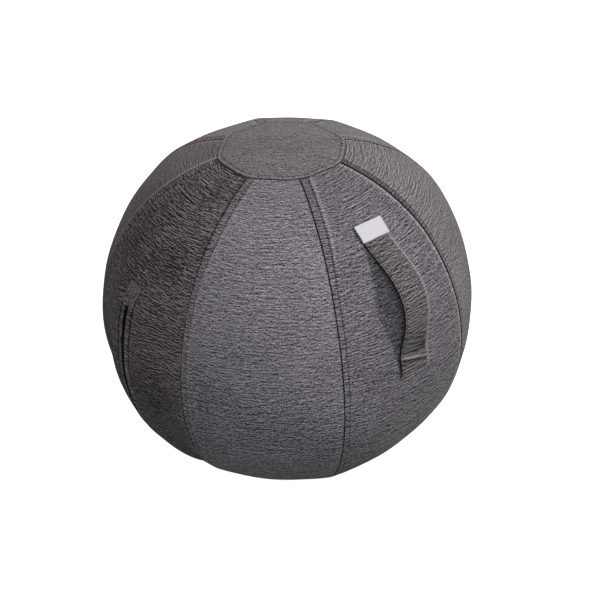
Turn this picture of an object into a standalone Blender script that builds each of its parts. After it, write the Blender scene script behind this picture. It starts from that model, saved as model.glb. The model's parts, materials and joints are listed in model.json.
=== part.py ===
"""Fabric-covered sitting ball: sewn cover, zip, carrying handle, inflated inner ball and foot ring.

Metres, +Z up. The origin is on the floor under the ball's centre. The zip runs down the -Y side and
the handle is on the +X side. Azimuth is counted from -Y towards +X, latitude up from the ball's centre.
"""
import math

import bmesh
import bpy
from mathutils import Vector

# Ball and cover
BALL_RADIUS = 0.325
FOOT_SINK = 0.033
CROWN_START = math.radians(36.0)
CROWN_DROP = 0.024
TUCK_START = math.radians(-42.0)
TUCK_DROP = 0.019
FOOT_EDGE = math.radians(-62.0)
FOOT_RADIUS = 0.112
FLATNESS = 0.222
GORES = 8
CAP_RADIUS = 0.108
CLOTH = 0.003
SEAM_GAP = 0.0003
FIT_GAP = 0.0003
BALL_GAP = 0.0005
GORE_CELLS = 6
GORE_ROWS = 15
CAP_ROWS = 3

# Inner ball, valve and foot ring
BALL_WALL = 0.0015
VALVE_GORE = 7
VALVE_ROW = 8
VALVE_HOLE_RADIUS = 0.015
VALVE_FLANGE_RADIUS = 0.018
VALVE_FLANGE = 0.002
VALVE_BORE_RADIUS = 0.0045
PLUG_HEAD_RADIUS = 0.0082
PLUG_LENGTH = 0.008
RING_RADIUS = 0.1
RING_SECTION = 0.013

# Handle
STRAP_WIDTH = 0.05
STRAP = 0.0035
STRAP_TOP = math.radians(51.0)
LOOP_TOP = math.radians(45.5)
LOOP_BOTTOM = math.radians(12.5)
STRAP_BOTTOM = math.radians(6.0)
LOOP_RISE = 0.0295
LOOP_FULLNESS = 1.6
GRIP_RISE = 0.012
LABEL_OVERHANG = 0.0005
LABEL_LENGTH = 0.028
LABEL = 0.0008

# Zip
ZIP_TOP = math.radians(22.5)
ZIP_BOTTOM = math.radians(-41.0)
ZIP_STEPS = 20
ZIP_RIDGE = 0.005
SLIT_HALF = 0.002
LIP_HALF = 0.02
TENT_EDGE = math.radians(16.0)
TENT_FADE = math.radians(14.0)
ROW_CLEARANCE = math.radians(2.0)
RUN_GAP = 0.00028
PLATE = 0.001
BASE_PLATE = 0.0008
COIL = 0.0016
COIL_INNER = 0.0008
COIL_OUTER = 0.0028
TAPE = 0.0006
TAPE_OUTER = 0.017
TAPE_STEP_GAP = 0.0009
TAPE_STEP = 0.003
SLIDER_HALF_WIDTH = 0.0046
SLIDER_HALF_LENGTH = 0.005
POST_HALF = 0.0005
BAIL_HALF = 0.0007
BAIL_HALF_LENGTH = 0.003
BAIL_WALL = 0.001
EYE_HALF = 0.0012
BAR_HALF = 0.0006
TAB_HALF_WIDTH = 0.004
TAB_LENGTH = 0.022
TAB_TIP_LENGTH = 0.005
TAB_TIP_SHARE = 0.7
TAB_WINDOW_GAP = 0.0008
TAB_REST = math.radians(33.0)
STOP_ARC = math.radians(1.0)
STOP_CLEARANCE = math.radians(0.1)
PATCH_HALF = 0.0165
PATCH_ARC = math.radians(6.5)
PATCH = 0.0012

# Values that follow from the sizes above
CENTRE_HEIGHT = BALL_RADIUS - FOOT_SINK
CENTRE = Vector((0.0, 0.0, CENTRE_HEIGHT))
GORE_ANGLE = 2.0 * math.pi / GORES
HALF_GORE = GORE_ANGLE / 2.0
POLE = math.pi / 2.0
HANDLE_AZIMUTH = 2 * GORE_ANGLE
LABEL_WIDTH = STRAP_WIDTH + 2.0 * LABEL_OVERHANG

ZIP_RADIUS = BALL_RADIUS + ZIP_RIDGE
LIP_INNER = ZIP_RADIUS - CLOTH
PLATE_HIGH = LIP_INNER - RUN_GAP
PLATE_LOW = PLATE_HIGH - PLATE
COIL_HIGH = PLATE_LOW - RUN_GAP
COIL_LOW = COIL_HIGH - COIL
TAPE_HIGH = COIL_LOW - RUN_GAP
TAPE_LOW = TAPE_HIGH - TAPE
BASE_HIGH = TAPE_LOW - RUN_GAP
BASE_LOW = BASE_HIGH - BASE_PLATE
BAR_RADIUS = ZIP_RADIUS + EYE_HALF + BAIL_WALL / 2
SLIDER_ARC = SLIDER_HALF_LENGTH / ZIP_RADIUS
SLIDER_REST = ZIP_BOTTOM + STOP_ARC + STOP_CLEARANCE + SLIDER_ARC

CHARCOAL_CLOTH = ((0.15, 0.14, 0.15, 1.0), 0.9, 0.0)
STRAP_CLOTH = ((0.13, 0.12, 0.13, 1.0), 0.9, 0.0)
FOOT_CLOTH = ((0.03, 0.03, 0.03, 1.0), 0.8, 0.0)
LABEL_CLOTH = ((0.75, 0.75, 0.77, 1.0), 0.7, 0.0)
ZIP_CLOTH = ((0.012, 0.012, 0.013, 1.0), 0.85, 0.0)
ZIP_NYLON = ((0.015, 0.015, 0.016, 1.0), 0.45, 0.0)
ZIP_METAL = ((0.05, 0.05, 0.052, 1.0), 0.35, 1.0)
BALL_VINYL = ((0.25, 0.26, 0.28, 1.0), 0.45, 0.0)
FOAM = ((0.05, 0.05, 0.055, 1.0), 0.95, 0.0)
VALVE_PLASTIC = ((0.8, 0.8, 0.78, 1.0), 0.4, 0.0)


def smooth(share):
    """Ease from 0 to 1, level at both ends."""
    share = min(max(share, 0.0), 1.0)
    return share * share * (3.0 - 2.0 * share)


def between(low, high, count):
    """Evenly spaced values from low to high, both included."""
    return [low + (high - low) * step / count for step in range(count + 1)]


def direction(azimuth, latitude):
    level = math.cos(latitude)
    return Vector((level * math.sin(azimuth), -level * math.cos(azimuth), math.sin(latitude)))


def profile_radius(latitude):
    """Distance of a seam from the ball's centre: round at the sides, lower at the crown and the foot."""
    if latitude > CROWN_START:
        share = (latitude - CROWN_START) / (POLE - CROWN_START)
        return BALL_RADIUS - CROWN_DROP * (1.0 - math.cos(math.pi * share)) / 2.0
    if latitude < TUCK_START:
        share = (TUCK_START - latitude) / (TUCK_START - FOOT_EDGE)
        return BALL_RADIUS - TUCK_DROP * share * share
    return BALL_RADIUS


def cover_radius(turn, latitude):
    """Distance of the cover from the centre; turn is the angle from the gore's middle line."""
    facet = 1.0 - math.cos(HALF_GORE) / math.cos(turn)
    return profile_radius(latitude) * (1.0 - FLATNESS * math.cos(latitude) * facet)


def cap_edge(turn):
    """Latitude of the cap's straight edge, where the cover is as far out as the octagon's side."""
    side = CAP_RADIUS * math.cos(HALF_GORE) / math.cos(turn)
    low, high = CROWN_START, POLE
    for _ in range(40):
        middle = (low + high) / 2.0
        if cover_radius(turn, middle) * math.cos(middle) > side:
            low = middle
        else:
            high = middle
    return low


def gore_latitude(turn, row):
    """Latitude of one of the evenly spaced rows between the cap's edge and the foot's edge."""
    top = cap_edge(turn) - SEAM_GAP / BALL_RADIUS
    return top + (FOOT_EDGE - top) * row / GORE_ROWS


def cover_point(gore, turn, latitude, depth):
    return CENTRE + direction(gore * GORE_ANGLE + turn, latitude) * (cover_radius(turn, latitude) - depth)


def edge_turn(turn, latitude):
    """Draw a gore's outermost columns in by half a seam gap."""
    reach = BALL_RADIUS * math.cos(latitude)
    limit = HALF_GORE - SEAM_GAP / (2.0 * reach)
    return min(max(turn, -limit), limit)


def material(name, finish):
    colour, roughness, metallic = finish
    made = bpy.data.materials.new(name)
    made.use_nodes = True
    shader = made.node_tree.nodes["Principled BSDF"]
    shader.inputs["Base Color"].default_value = colour
    shader.inputs["Roughness"].default_value = roughness
    shader.inputs["Metallic"].default_value = metallic
    return made


def finish_object(name, mesh_data, finish, origin=None):
    """Close the mesh, link it as a named object and put its origin where it turns."""
    bmesh.ops.remove_doubles(mesh_data, verts=mesh_data.verts, dist=1e-6)
    bmesh.ops.dissolve_degenerate(mesh_data, edges=mesh_data.edges, dist=1e-7)
    if mesh_data.calc_volume(signed=True) < 0.0:
        bmesh.ops.reverse_faces(mesh_data, faces=mesh_data.faces)
    place = Vector(origin) if origin is not None else Vector((0.0, 0.0, 0.0))
    bmesh.ops.translate(mesh_data, verts=mesh_data.verts, vec=-place)
    mesh = bpy.data.meshes.new(name)
    mesh_data.to_mesh(mesh)
    mesh_data.free()
    mesh.shade_smooth()
    mesh.set_sharp_from_angle(angle=math.radians(35.0))
    mesh.materials.append(material(name + "_finish", finish))
    made = bpy.data.objects.new(name, mesh)
    made.location = place
    bpy.context.scene.collection.objects.link(made)
    return made


def cell_mesh(sizes, place, keep=None, wrap=False):
    """Skin of the kept cells of a lattice. sizes counts its points along columns, rows and levels."""
    columns, rows, levels = sizes
    cells = (columns if wrap else columns - 1, rows - 1, levels - 1)

    def filled(cell):
        column, row, level = cell
        if wrap:
            column = column % columns
        inside = 0 <= column < cells[0] and 0 <= row < cells[1] and 0 <= level < cells[2]
        return inside and (keep is None or keep(column, row, level))

    made = bmesh.new()
    corners = {}

    def corner(column, row, level):
        key = (column % columns if wrap else column, row, level)
        if key not in corners:
            corners[key] = made.verts.new(place(*key))
        return corners[key]

    for column in range(cells[0]):
        for row in range(cells[1]):
            for level in range(cells[2]):
                cell = (column, row, level)
                if filled(cell):
                    for axis in range(3):
                        for side in (0, 1):
                            beside = list(cell)
                            beside[axis] += 2 * side - 1
                            if not filled(tuple(beside)):
                                add_cell_side(made, corner, cell, axis, side)
    return made


def add_cell_side(made, corner, cell, axis, side):
    across, along = [other for other in range(3) if other != axis]
    loop = []
    for step_across, step_along in ((0, 0), (1, 0), (1, 1), (0, 1)):
        point = list(cell)
        point[axis] += side
        point[across] += step_across
        point[along] += step_along
        loop.append(corner(*point))
    if (side == 1) == (axis == 1):
        loop.reverse()
    made.faces.new(loop)


def make_gore(gore, name):
    """A plain gore: a curved panel from the cap's edge to the foot's edge."""
    turns = between(-HALF_GORE, HALF_GORE, GORE_CELLS)

    def place(column, row, level):
        latitude = gore_latitude(turns[column], row)
        turn = edge_turn(turns[column], latitude)
        return cover_point(gore, turn, latitude, level * CLOTH)

    finish_object(name, cell_mesh((len(turns), GORE_ROWS + 1, 2), place), CHARCOAL_CLOTH)


def zip_point(across, latitude, radius):
    """A point beside the zip, which lies on a circle about the ball's X axis."""
    return CENTRE + direction(0.0, latitude) * radius + Vector((across, 0.0, 0.0))


def zip_latitudes():
    return between(ZIP_TOP, ZIP_BOTTOM, ZIP_STEPS)


def patch_latitudes():
    """Rows of the patch over the zip's upper end: its top, its middle and the start of the slit."""
    return [ZIP_TOP + PATCH_ARC, ZIP_TOP + PATCH_ARC / 2.0, ZIP_TOP]


def tent_share(turn, latitude):
    """How far the cover stands up to the zip: fully at the lips, easing off around them."""
    lip_turn = LIP_HALF / BALL_RADIUS
    over = max(latitude - ZIP_TOP, ZIP_BOTTOM - latitude, 0.0)
    lengthwise = 1.0 - smooth(over / TENT_FADE)
    crosswise = 1.0 - smooth((abs(turn) - lip_turn) / (TENT_EDGE - lip_turn))
    return lengthwise * crosswise


def zip_cover_point(turn, latitude, depth):
    """The zip gore: the cover drawn up to the zip's lips."""
    plain = cover_point(0, turn, latitude, depth)
    raised = zip_point(BALL_RADIUS * turn, latitude, ZIP_RADIUS - depth)
    return plain.lerp(raised, tent_share(turn, latitude))


def make_zip_gore(name):
    """The gore that the zip divides, with a slit between two raised lips."""
    slit = SLIT_HALF / BALL_RADIUS
    lip = LIP_HALF / BALL_RADIUS
    half = [slit, lip, (lip + TENT_EDGE) / 2.0, TENT_EDGE, HALF_GORE]
    turns = [-turn for turn in reversed(half)] + half
    middle = len(half) - 1
    zipped = zip_latitudes()
    patched = patch_latitudes()[:-1]
    upper = [row for row in range(GORE_ROWS + 1) if gore_latitude(0.0, row) > patched[0] + ROW_CLEARANCE]
    lower = [row for row in range(GORE_ROWS + 1) if gore_latitude(0.0, row) < ZIP_BOTTOM - ROW_CLEARANCE]
    first_zipped = len(upper) + len(patched)
    first_lower = first_zipped + len(zipped)

    def latitude_at(turn, row):
        if row < len(upper):
            return gore_latitude(turn, upper[row])
        if row < first_zipped:
            return patched[row - len(upper)]
        if row < first_lower:
            return zipped[row - first_zipped]
        return gore_latitude(turn, lower[row - first_lower])

    def place(column, row, level):
        latitude = latitude_at(turns[column], row)
        turn = edge_turn(turns[column], latitude)
        return zip_cover_point(turn, latitude, level * CLOTH)

    def keep(column, row, level):
        in_slit = first_zipped <= row < first_zipped + ZIP_STEPS
        return not (column == middle and in_slit)

    rows = first_lower + len(lower)
    finish_object(name, cell_mesh((len(turns), rows, 2), place, keep), CHARCOAL_CLOTH)


def make_top_cap():
    columns = GORES * GORE_CELLS

    def place(column, row, level):
        turn = (column % GORE_CELLS) * GORE_ANGLE / GORE_CELLS - HALF_GORE
        gore = column // GORE_CELLS
        latitude = POLE + (cap_edge(turn) - POLE) * row / CAP_ROWS
        return cover_point(gore, turn, latitude, level * CLOTH)

    finish_object("top_cap", cell_mesh((columns, CAP_ROWS + 1, 2), place, wrap=True), CHARCOAL_CLOTH)


def curve_point(start, middle, end, share):
    """A point on the parabola that leaves start towards middle and reaches end from it."""
    rest = 1.0 - share
    return [a * rest * rest + 2.0 * b * rest * share + c * share * share
            for a, b, c in zip(start, middle, end)]


def foot_profile(depth):
    """Radius and height of the bottom panel's face that lies this deep in it, from the rim inwards."""
    latitude = FOOT_EDGE - SEAM_GAP / BALL_RADIUS
    reach = profile_radius(FOOT_EDGE) - depth
    rim = (reach * math.cos(latitude), CENTRE_HEIGHT + reach * math.sin(latitude))
    toe = rim[0] - (rim[1] - depth) / math.tan(POLE + latitude)
    knee = (max((rim[0] + FOOT_RADIUS) / 2.0, min(toe, rim[0])), depth)
    bend = [curve_point(rim, knee, (FOOT_RADIUS, depth), share) for share in between(0.0, 1.0, 4)]
    return bend + [(0.0, depth)]


def make_bottom_panel():
    """A shallow dish that closes the cover and stands flat on the floor."""
    columns = GORES * GORE_CELLS
    faces = [foot_profile(0.0), foot_profile(CLOTH)]

    def place(column, row, level):
        radius, height = faces[level][row]
        azimuth = column * 2.0 * math.pi / columns + HALF_GORE
        return Vector((radius * math.sin(azimuth), -radius * math.cos(azimuth), height))

    rows = len(faces[0])
    finish_object("bottom_panel", cell_mesh((columns, rows, 2), place, wrap=True), FOOT_CLOTH)


def ball_turns():
    """The inner ball's columns: the seams and two lines in each gore."""
    inner = HALF_GORE / 3.0
    return [(gore, turn) for gore in range(GORES) for turn in (-HALF_GORE, -inner, inner)]


def ball_floor():
    """Radius and height of the inner ball's underside: over the foot ring, then sagging inside it."""
    seat = CLOTH + FIT_GAP
    ring_top = seat + 2.0 * RING_SECTION + FIT_GAP
    ring_inner = RING_RADIUS - RING_SECTION
    return [
        (RING_RADIUS, ring_top),
        (ring_inner - RING_SECTION / 4.0, ring_top - RING_SECTION / 4.0),
        (ring_inner * 2.0 / 3.0, seat + RING_SECTION / 2.0),
        (0.0, seat),
    ]


def ball_point(line, row, depth):
    gore, turn = line
    floor = ball_floor()
    below = row - CAP_ROWS - GORE_ROWS
    if row < CAP_ROWS:
        latitude = POLE + (cap_edge(turn) - POLE) * row / CAP_ROWS
    elif below < 0:
        latitude = gore_latitude(turn, row - CAP_ROWS)
    else:
        radius, height = floor[below]
        flat = direction(gore * GORE_ANGLE + turn, 0.0) * radius
        return flat + Vector((0.0, 0.0, height + depth))
    return cover_point(gore, turn, latitude, CLOTH + BALL_GAP + depth)


def valve_frame():
    """Middle and outward normal of the inner ball's facet that carries the valve."""
    inner = HALF_GORE / 3.0
    row = CAP_ROWS + VALVE_ROW
    spots = [(turn, row + step) for turn in (-inner, inner) for step in (0, 1)]
    corners = [ball_point((VALVE_GORE, turn), line, 0.0) for turn, line in spots]
    middle = sum(corners, Vector()) / len(corners)
    normal = (corners[1] - corners[0]).cross(corners[2] - corners[0]).normalized()
    if normal.dot(middle - CENTRE) < 0.0:
        normal = -normal
    return middle, normal


def turned_mesh(radii, heights, keep, segments=24):
    """A stepped turned piece on the valve's axis; heights are counted outwards from the ball's face."""
    middle, normal = valve_frame()
    turn = normal.to_track_quat("Z", "Y").to_matrix()

    def place(column, row, level):
        angle = column * 2.0 * math.pi / segments
        radius = radii[row]
        spot = Vector((radius * math.cos(angle), radius * math.sin(angle), heights[level]))
        return middle + turn @ spot

    return cell_mesh((segments, len(radii), len(heights)), place, keep, wrap=True)


def make_inner_ball():
    """The inflated ball's wall, open at the valve hole."""
    lines = ball_turns()
    rows = CAP_ROWS + GORE_ROWS + len(ball_floor())

    def place(column, row, level):
        return ball_point(lines[column], row, level * BALL_WALL)

    ball = finish_object("inner_ball", cell_mesh((len(lines), rows, 2), place, wrap=True), BALL_VINYL)
    deep = 4.0 * BALL_WALL
    cutter_mesh = turned_mesh([0.0, VALVE_HOLE_RADIUS], [-deep, deep], None)
    cutter = finish_object("valve_hole_cutter", cutter_mesh, BALL_VINYL)
    cutter.hide_render = True
    cutter.display_type = "WIRE"
    hole = ball.modifiers.new("valve_hole", "BOOLEAN")
    hole.operation = "DIFFERENCE"
    hole.solver = "EXACT"
    hole.object = cutter


def make_valve():
    """A flanged seat behind the wall and a headed plug pressed into it."""
    flange_top = -BALL_WALL - FIT_GAP
    flange_low = flange_top - VALVE_FLANGE
    recess = PLUG_HEAD_RADIUS + FIT_GAP
    neck = VALVE_HOLE_RADIUS - FIT_GAP
    lip = -FIT_GAP
    seat_radii = [VALVE_BORE_RADIUS, recess, neck, VALVE_FLANGE_RADIUS]
    seat_mesh = turned_mesh(seat_radii, [flange_low, flange_top, lip],
                            lambda column, row, level: level == 0 or row == 1)
    finish_object("valve_seat", seat_mesh, VALVE_PLASTIC)
    head_low = flange_top + FIT_GAP
    plug_radii = [0.0, VALVE_BORE_RADIUS - FIT_GAP, PLUG_HEAD_RADIUS]
    plug_mesh = turned_mesh(plug_radii, [head_low - PLUG_LENGTH, head_low, lip],
                            lambda column, row, level: level == 1 or row == 0)
    finish_object("valve_plug", plug_mesh, VALVE_PLASTIC)


def make_foot_ring():
    rim_sides, section_sides = 40, 10

    def place(column, row, level):
        around = column * 2.0 * math.pi / rim_sides
        height = CLOTH + FIT_GAP + RING_SECTION * (1.0 - math.cos(math.pi * row / section_sides))
        spread = RING_SECTION * math.sin(math.pi * row / section_sides) * (2 * level - 1)
        radius = RING_RADIUS + spread
        return Vector((radius * math.sin(around), -radius * math.cos(around), height))

    finish_object("foot_ring", cell_mesh((rim_sides, section_sides + 1, 2), place, wrap=True), FOAM)


def strap_rise(latitude):
    """How far the strap's inner face stands off the gore: bowed between its sewn ends."""
    if not LOOP_BOTTOM < latitude < LOOP_TOP:
        return FIT_GAP
    share = (LOOP_TOP - latitude) / (LOOP_TOP - LOOP_BOTTOM)
    return FIT_GAP + LOOP_RISE * math.sin(math.pi * share) ** LOOP_FULLNESS


def grip_limits():
    """Latitudes of the bow's two ends, where it clears the gore by the grip's rise."""
    share = math.asin((GRIP_RISE / LOOP_RISE) ** (1.0 / LOOP_FULLNESS)) / math.pi
    reach = LOOP_TOP - LOOP_BOTTOM
    return LOOP_TOP - share * reach, LOOP_BOTTOM + share * reach


def strap_core(latitude, lift):
    """A point on the strap's middle line, lift above its inner face, before the faces are squared."""
    radius = cover_radius(0.0, latitude) + strap_rise(latitude) + lift
    return CENTRE + direction(HANDLE_AZIMUTH, latitude) * radius


def handle_axis():
    """The line through the two ends of the bow, from the lower to the upper one."""
    upper, lower = grip_limits()
    start = strap_core(lower, STRAP / 2.0)
    end = strap_core(upper, STRAP / 2.0)
    return start, (end - start).normalized()


def strap_point(across, latitude, lift):
    """Faces are square to the sway axis along the bow, and square to the gore where it is sewn."""
    _, along = handle_axis()
    sideways = direction(HANDLE_AZIMUTH + POLE, 0.0)
    bow_normal = along.cross(sideways)
    outward = direction(HANDLE_AZIMUTH, latitude)
    if bow_normal.dot(outward) < 0.0:
        bow_normal = -bow_normal
    share = min((strap_rise(latitude) - FIT_GAP) / GRIP_RISE, 1.0)
    normal = outward.lerp(bow_normal, share).normalized()
    return strap_core(latitude, 0.0) + normal * lift + sideways * across


def make_strap_piece(name, latitudes, origin=None, shift=None):
    """A stretch of the strap. shift moves its first and last sections along the sway axis for a gap."""
    across = [-STRAP_WIDTH / 2.0, 0.0, STRAP_WIDTH / 2.0]
    _, along = handle_axis()
    moves = {0: (shift or (0.0, 0.0))[0], len(latitudes) - 1: (shift or (0.0, 0.0))[1]}

    def place(column, row, level):
        point = strap_point(across[column], latitudes[row], level * STRAP)
        return point + along * moves.get(row, 0.0)

    finish_object(name, cell_mesh((3, len(latitudes), 2), place), STRAP_CLOTH, origin)


def make_handle():
    upper, lower = grip_limits()
    half_gap = FIT_GAP / 2.0
    top = between(STRAP_TOP, LOOP_TOP, 4) + between(LOOP_TOP, upper, 4)[1:]
    bottom = between(lower, LOOP_BOTTOM, 4) + between(LOOP_BOTTOM, STRAP_BOTTOM, 4)[1:]
    make_strap_piece("handle_upper_end", top, None, (0.0, half_gap))
    make_strap_piece("handle_grip", between(upper, lower, 10), handle_axis()[0], (-half_gap, half_gap))
    make_strap_piece("handle_lower_end", bottom, None, (-half_gap, 0.0))


def make_label():
    """A blank woven label across the strap's upper end."""
    middle = (STRAP_TOP + LOOP_TOP) / 2.0
    half = LABEL_LENGTH / (2.0 * cover_radius(0.0, middle))
    latitudes = between(middle + half, middle - half, 4)
    across = [-LABEL_WIDTH / 2.0, LABEL_WIDTH / 2.0]

    def place(column, row, level):
        lift = STRAP + FIT_GAP + level * LABEL
        return strap_point(across[column], latitudes[row], lift)

    finish_object("handle_label", cell_mesh((2, len(latitudes), 2), place), LABEL_CLOTH)


def make_zip_tape(name, side):
    """A woven tape: low under the coil, stepping up to the lip that it is sewn to."""
    step_start = SLIDER_HALF_WIDTH + TAPE_STEP_GAP
    step_end = step_start + TAPE_STEP
    across = [COIL_INNER, step_start, step_end, TAPE_OUTER]
    raised = LIP_INNER - FIT_GAP - TAPE
    lows = [TAPE_LOW, TAPE_LOW, raised, raised]
    latitudes = zip_latitudes()

    def place(column, row, level):
        return zip_point(side * across[column], latitudes[row], lows[column] + level * TAPE)

    finish_object(name, cell_mesh((len(across), len(latitudes), 2), place), ZIP_CLOTH)


def make_zip_coil(name, side):
    """One side's row of nylon coil, on the tape's inner edge between the two stops."""
    latitudes = zip_latitudes()
    inset = STOP_ARC + STOP_CLEARANCE
    latitudes[0] -= inset
    latitudes[-1] += inset
    across = [COIL_INNER, COIL_OUTER]
    heights = [COIL_LOW, COIL_HIGH]

    def place(column, row, level):
        return zip_point(side * across[column], latitudes[row], heights[level])

    finish_object(name, cell_mesh((2, len(latitudes), 2), place), ZIP_NYLON)


def make_zip_stop(name, low, high):
    across = [-COIL_OUTER, COIL_OUTER]
    latitudes = [high, low]
    heights = [COIL_LOW, COIL_HIGH]

    def place(column, row, level):
        return zip_point(across[column], latitudes[row], heights[level])

    finish_object(name, cell_mesh((2, 2, 2), place), ZIP_METAL)


def make_zip_slider():
    """Two plates joined by a post between the coils, with a bail that stands out through the slit."""
    across = [-SLIDER_HALF_WIDTH, -BAIL_HALF, -POST_HALF, POST_HALF, BAIL_HALF, SLIDER_HALF_WIDTH]
    along_half = [EYE_HALF, BAIL_HALF_LENGTH, SLIDER_HALF_LENGTH]
    along = [-step for step in reversed(along_half)] + along_half
    eye_low = BAR_RADIUS - EYE_HALF
    eye_high = BAR_RADIUS + EYE_HALF
    heights = [BASE_LOW, BASE_HIGH, PLATE_LOW, PLATE_HIGH, eye_low, eye_high, eye_high + BAIL_WALL]

    def place(column, row, level):
        latitude = SLIDER_REST + along[row] / ZIP_RADIUS
        return zip_point(across[column], latitude, heights[level])

    def keep(column, row, level):
        if level in (0, 2):
            return True
        if level == 1:
            return column == 2
        in_bail = 1 <= column <= 3 and 1 <= row <= 3
        return in_bail and not (level == 4 and row == 2)

    mesh = cell_mesh((len(across), len(along), len(heights)), place, keep)
    finish_object("zip_slider", mesh, ZIP_METAL, CENTRE)


def make_pull_tab():
    """A flat tab that lies back along the cover; its end bar passes through the slider's eye."""
    bar = zip_point(0.0, SLIDER_REST, BAR_RADIUS)
    window = BAIL_HALF + TAB_WINDOW_GAP
    reach = math.hypot(BAIL_HALF_LENGTH, EYE_HALF + BAIL_WALL) + FIT_GAP
    across = [-TAB_HALF_WIDTH, -window, window, TAB_HALF_WIDTH]
    down = [-BAR_HALF, BAR_HALF, reach, TAB_LENGTH - TAB_TIP_LENGTH, TAB_LENGTH]
    taper = [1.0, 1.0, 1.0, 1.0, TAB_TIP_SHARE]
    downward = Vector((0.0, math.sin(TAB_REST), -math.cos(TAB_REST)))
    inward = Vector((0.0, math.cos(TAB_REST), math.sin(TAB_REST)))

    def place(column, row, level):
        spread = Vector((across[column] * taper[row], 0.0, 0.0))
        return bar + spread + downward * down[row] + inward * ((2 * level - 1) * BAR_HALF)

    def keep(column, row, level):
        return not (column == 1 and row == 1)

    finish_object("zip_pull_tab", cell_mesh((4, len(down), 2), place, keep), ZIP_METAL, bar)


def make_zip_patch():
    """A reinforcing patch over the zip's upper end."""
    turn = PATCH_HALF / BALL_RADIUS
    turns = [-turn, 0.0, turn]
    latitudes = patch_latitudes()

    def place(column, row, level):
        gore = zip_cover_point(0.0, latitudes[row], -FIT_GAP - level * PATCH)
        return gore + Vector((BALL_RADIUS * turns[column], 0.0, 0.0))

    finish_object("zip_end_patch", cell_mesh((len(turns), len(latitudes), 2), place), CHARCOAL_CLOTH)


def main():
    for old in list(bpy.data.objects):
        bpy.data.objects.remove(old, do_unlink=True)
    make_zip_gore("gore_1_zip")
    named = {1: "gore_2_front", 2: "gore_3_handle"}
    for gore in range(1, GORES):
        make_gore(gore, named.get(gore, "gore_%d" % (gore + 1)))
    make_top_cap()
    make_bottom_panel()
    make_inner_ball()
    make_valve()
    make_foot_ring()
    make_handle()
    make_label()
    make_zip_tape("zip_tape_left", -1)
    make_zip_tape("zip_tape_right", 1)
    make_zip_coil("zip_coil_left", -1)
    make_zip_coil("zip_coil_right", 1)
    make_zip_stop("zip_top_stop", ZIP_TOP - STOP_ARC, ZIP_TOP)
    make_zip_stop("zip_bottom_stop", ZIP_BOTTOM, ZIP_BOTTOM + STOP_ARC)
    make_zip_slider()
    make_pull_tab()
    make_zip_patch()


main()
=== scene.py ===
"""Looks of the fabric-covered sitting ball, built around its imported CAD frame.

Metres, +Z up. The zip runs down the -Y side and the handle is on the +X side. Azimuth is counted from -Y
towards +X, and latitude up from the ball's centre, as in the part's source.
"""
import json
from math import asin, cos, hypot, pi, radians, sin, sqrt, tan

import bmesh
import bpy
import numpy as np
from mathutils import Matrix, Vector

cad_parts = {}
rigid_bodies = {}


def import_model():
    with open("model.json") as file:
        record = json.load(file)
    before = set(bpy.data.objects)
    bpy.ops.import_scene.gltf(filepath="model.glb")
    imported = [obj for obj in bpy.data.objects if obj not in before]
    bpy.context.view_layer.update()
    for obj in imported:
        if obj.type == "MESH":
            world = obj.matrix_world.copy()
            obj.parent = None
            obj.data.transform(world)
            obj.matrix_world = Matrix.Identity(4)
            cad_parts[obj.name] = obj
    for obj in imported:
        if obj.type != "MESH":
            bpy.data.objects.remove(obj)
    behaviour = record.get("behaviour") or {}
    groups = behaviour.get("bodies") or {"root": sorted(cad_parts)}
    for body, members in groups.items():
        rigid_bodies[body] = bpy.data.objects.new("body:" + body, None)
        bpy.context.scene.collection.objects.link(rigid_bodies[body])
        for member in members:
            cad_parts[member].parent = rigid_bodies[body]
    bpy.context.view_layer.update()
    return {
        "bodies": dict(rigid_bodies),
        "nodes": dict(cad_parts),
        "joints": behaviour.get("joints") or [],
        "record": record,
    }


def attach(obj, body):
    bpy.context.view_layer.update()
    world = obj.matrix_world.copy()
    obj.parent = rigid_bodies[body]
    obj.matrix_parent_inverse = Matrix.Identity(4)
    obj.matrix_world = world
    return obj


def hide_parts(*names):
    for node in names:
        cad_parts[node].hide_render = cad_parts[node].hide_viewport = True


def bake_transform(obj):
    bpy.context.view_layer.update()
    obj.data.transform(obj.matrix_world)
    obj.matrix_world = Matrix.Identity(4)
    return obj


# Sizes repeated from the part's source
BALL_RADIUS = 0.325
FOOT_SINK = 0.033
CROWN_START = radians(36.0)
CROWN_DROP = 0.024
TUCK_START = radians(-42.0)
TUCK_DROP = 0.019
FOOT_EDGE = radians(-62.0)
FOOT_RADIUS = 0.112
FLATNESS = 0.222
GORES = 8
CAP_RADIUS = 0.108
CLOTH = 0.003
FIT_GAP = 0.0003
STRAP_WIDTH = 0.05
STRAP = 0.0035
STRAP_TOP = radians(51.0)
LOOP_TOP = radians(45.5)
LOOP_BOTTOM = radians(12.5)
STRAP_BOTTOM = radians(6.0)
LOOP_RISE = 0.0295
LOOP_FULLNESS = 1.6
GRIP_RISE = 0.012
LABEL_WIDTH = 0.051
LABEL_LENGTH = 0.028
LABEL = 0.0008
ZIP_TOP = radians(22.5)
ZIP_BOTTOM = radians(-41.0)
ZIP_RIDGE = 0.005
LIP_HALF = 0.02
TENT_EDGE = radians(16.0)
TENT_FADE = radians(14.0)
RUN_GAP = 0.00028
PLATE = 0.001
BASE_PLATE = 0.0008
COIL = 0.0016
COIL_INNER = 0.0008
COIL_OUTER = 0.0028
TAPE = 0.0006
TAPE_OUTER = 0.017
TAPE_STEP_START = 0.0055
TAPE_STEP = 0.003
SLIDER_HALF_WIDTH = 0.0046
SLIDER_HALF_LENGTH = 0.005
POST_HALF = 0.0005
BAIL_HALF = 0.0007
BAIL_HALF_LENGTH = 0.003
BAIL_WALL = 0.001
EYE_HALF = 0.0012
BAR_HALF = 0.0006
TAB_HALF_WIDTH = 0.004
TAB_LENGTH = 0.022
TAB_REST = radians(33.0)
STOP_ARC = radians(1.0)
STOP_CLEARANCE = radians(0.1)
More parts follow.
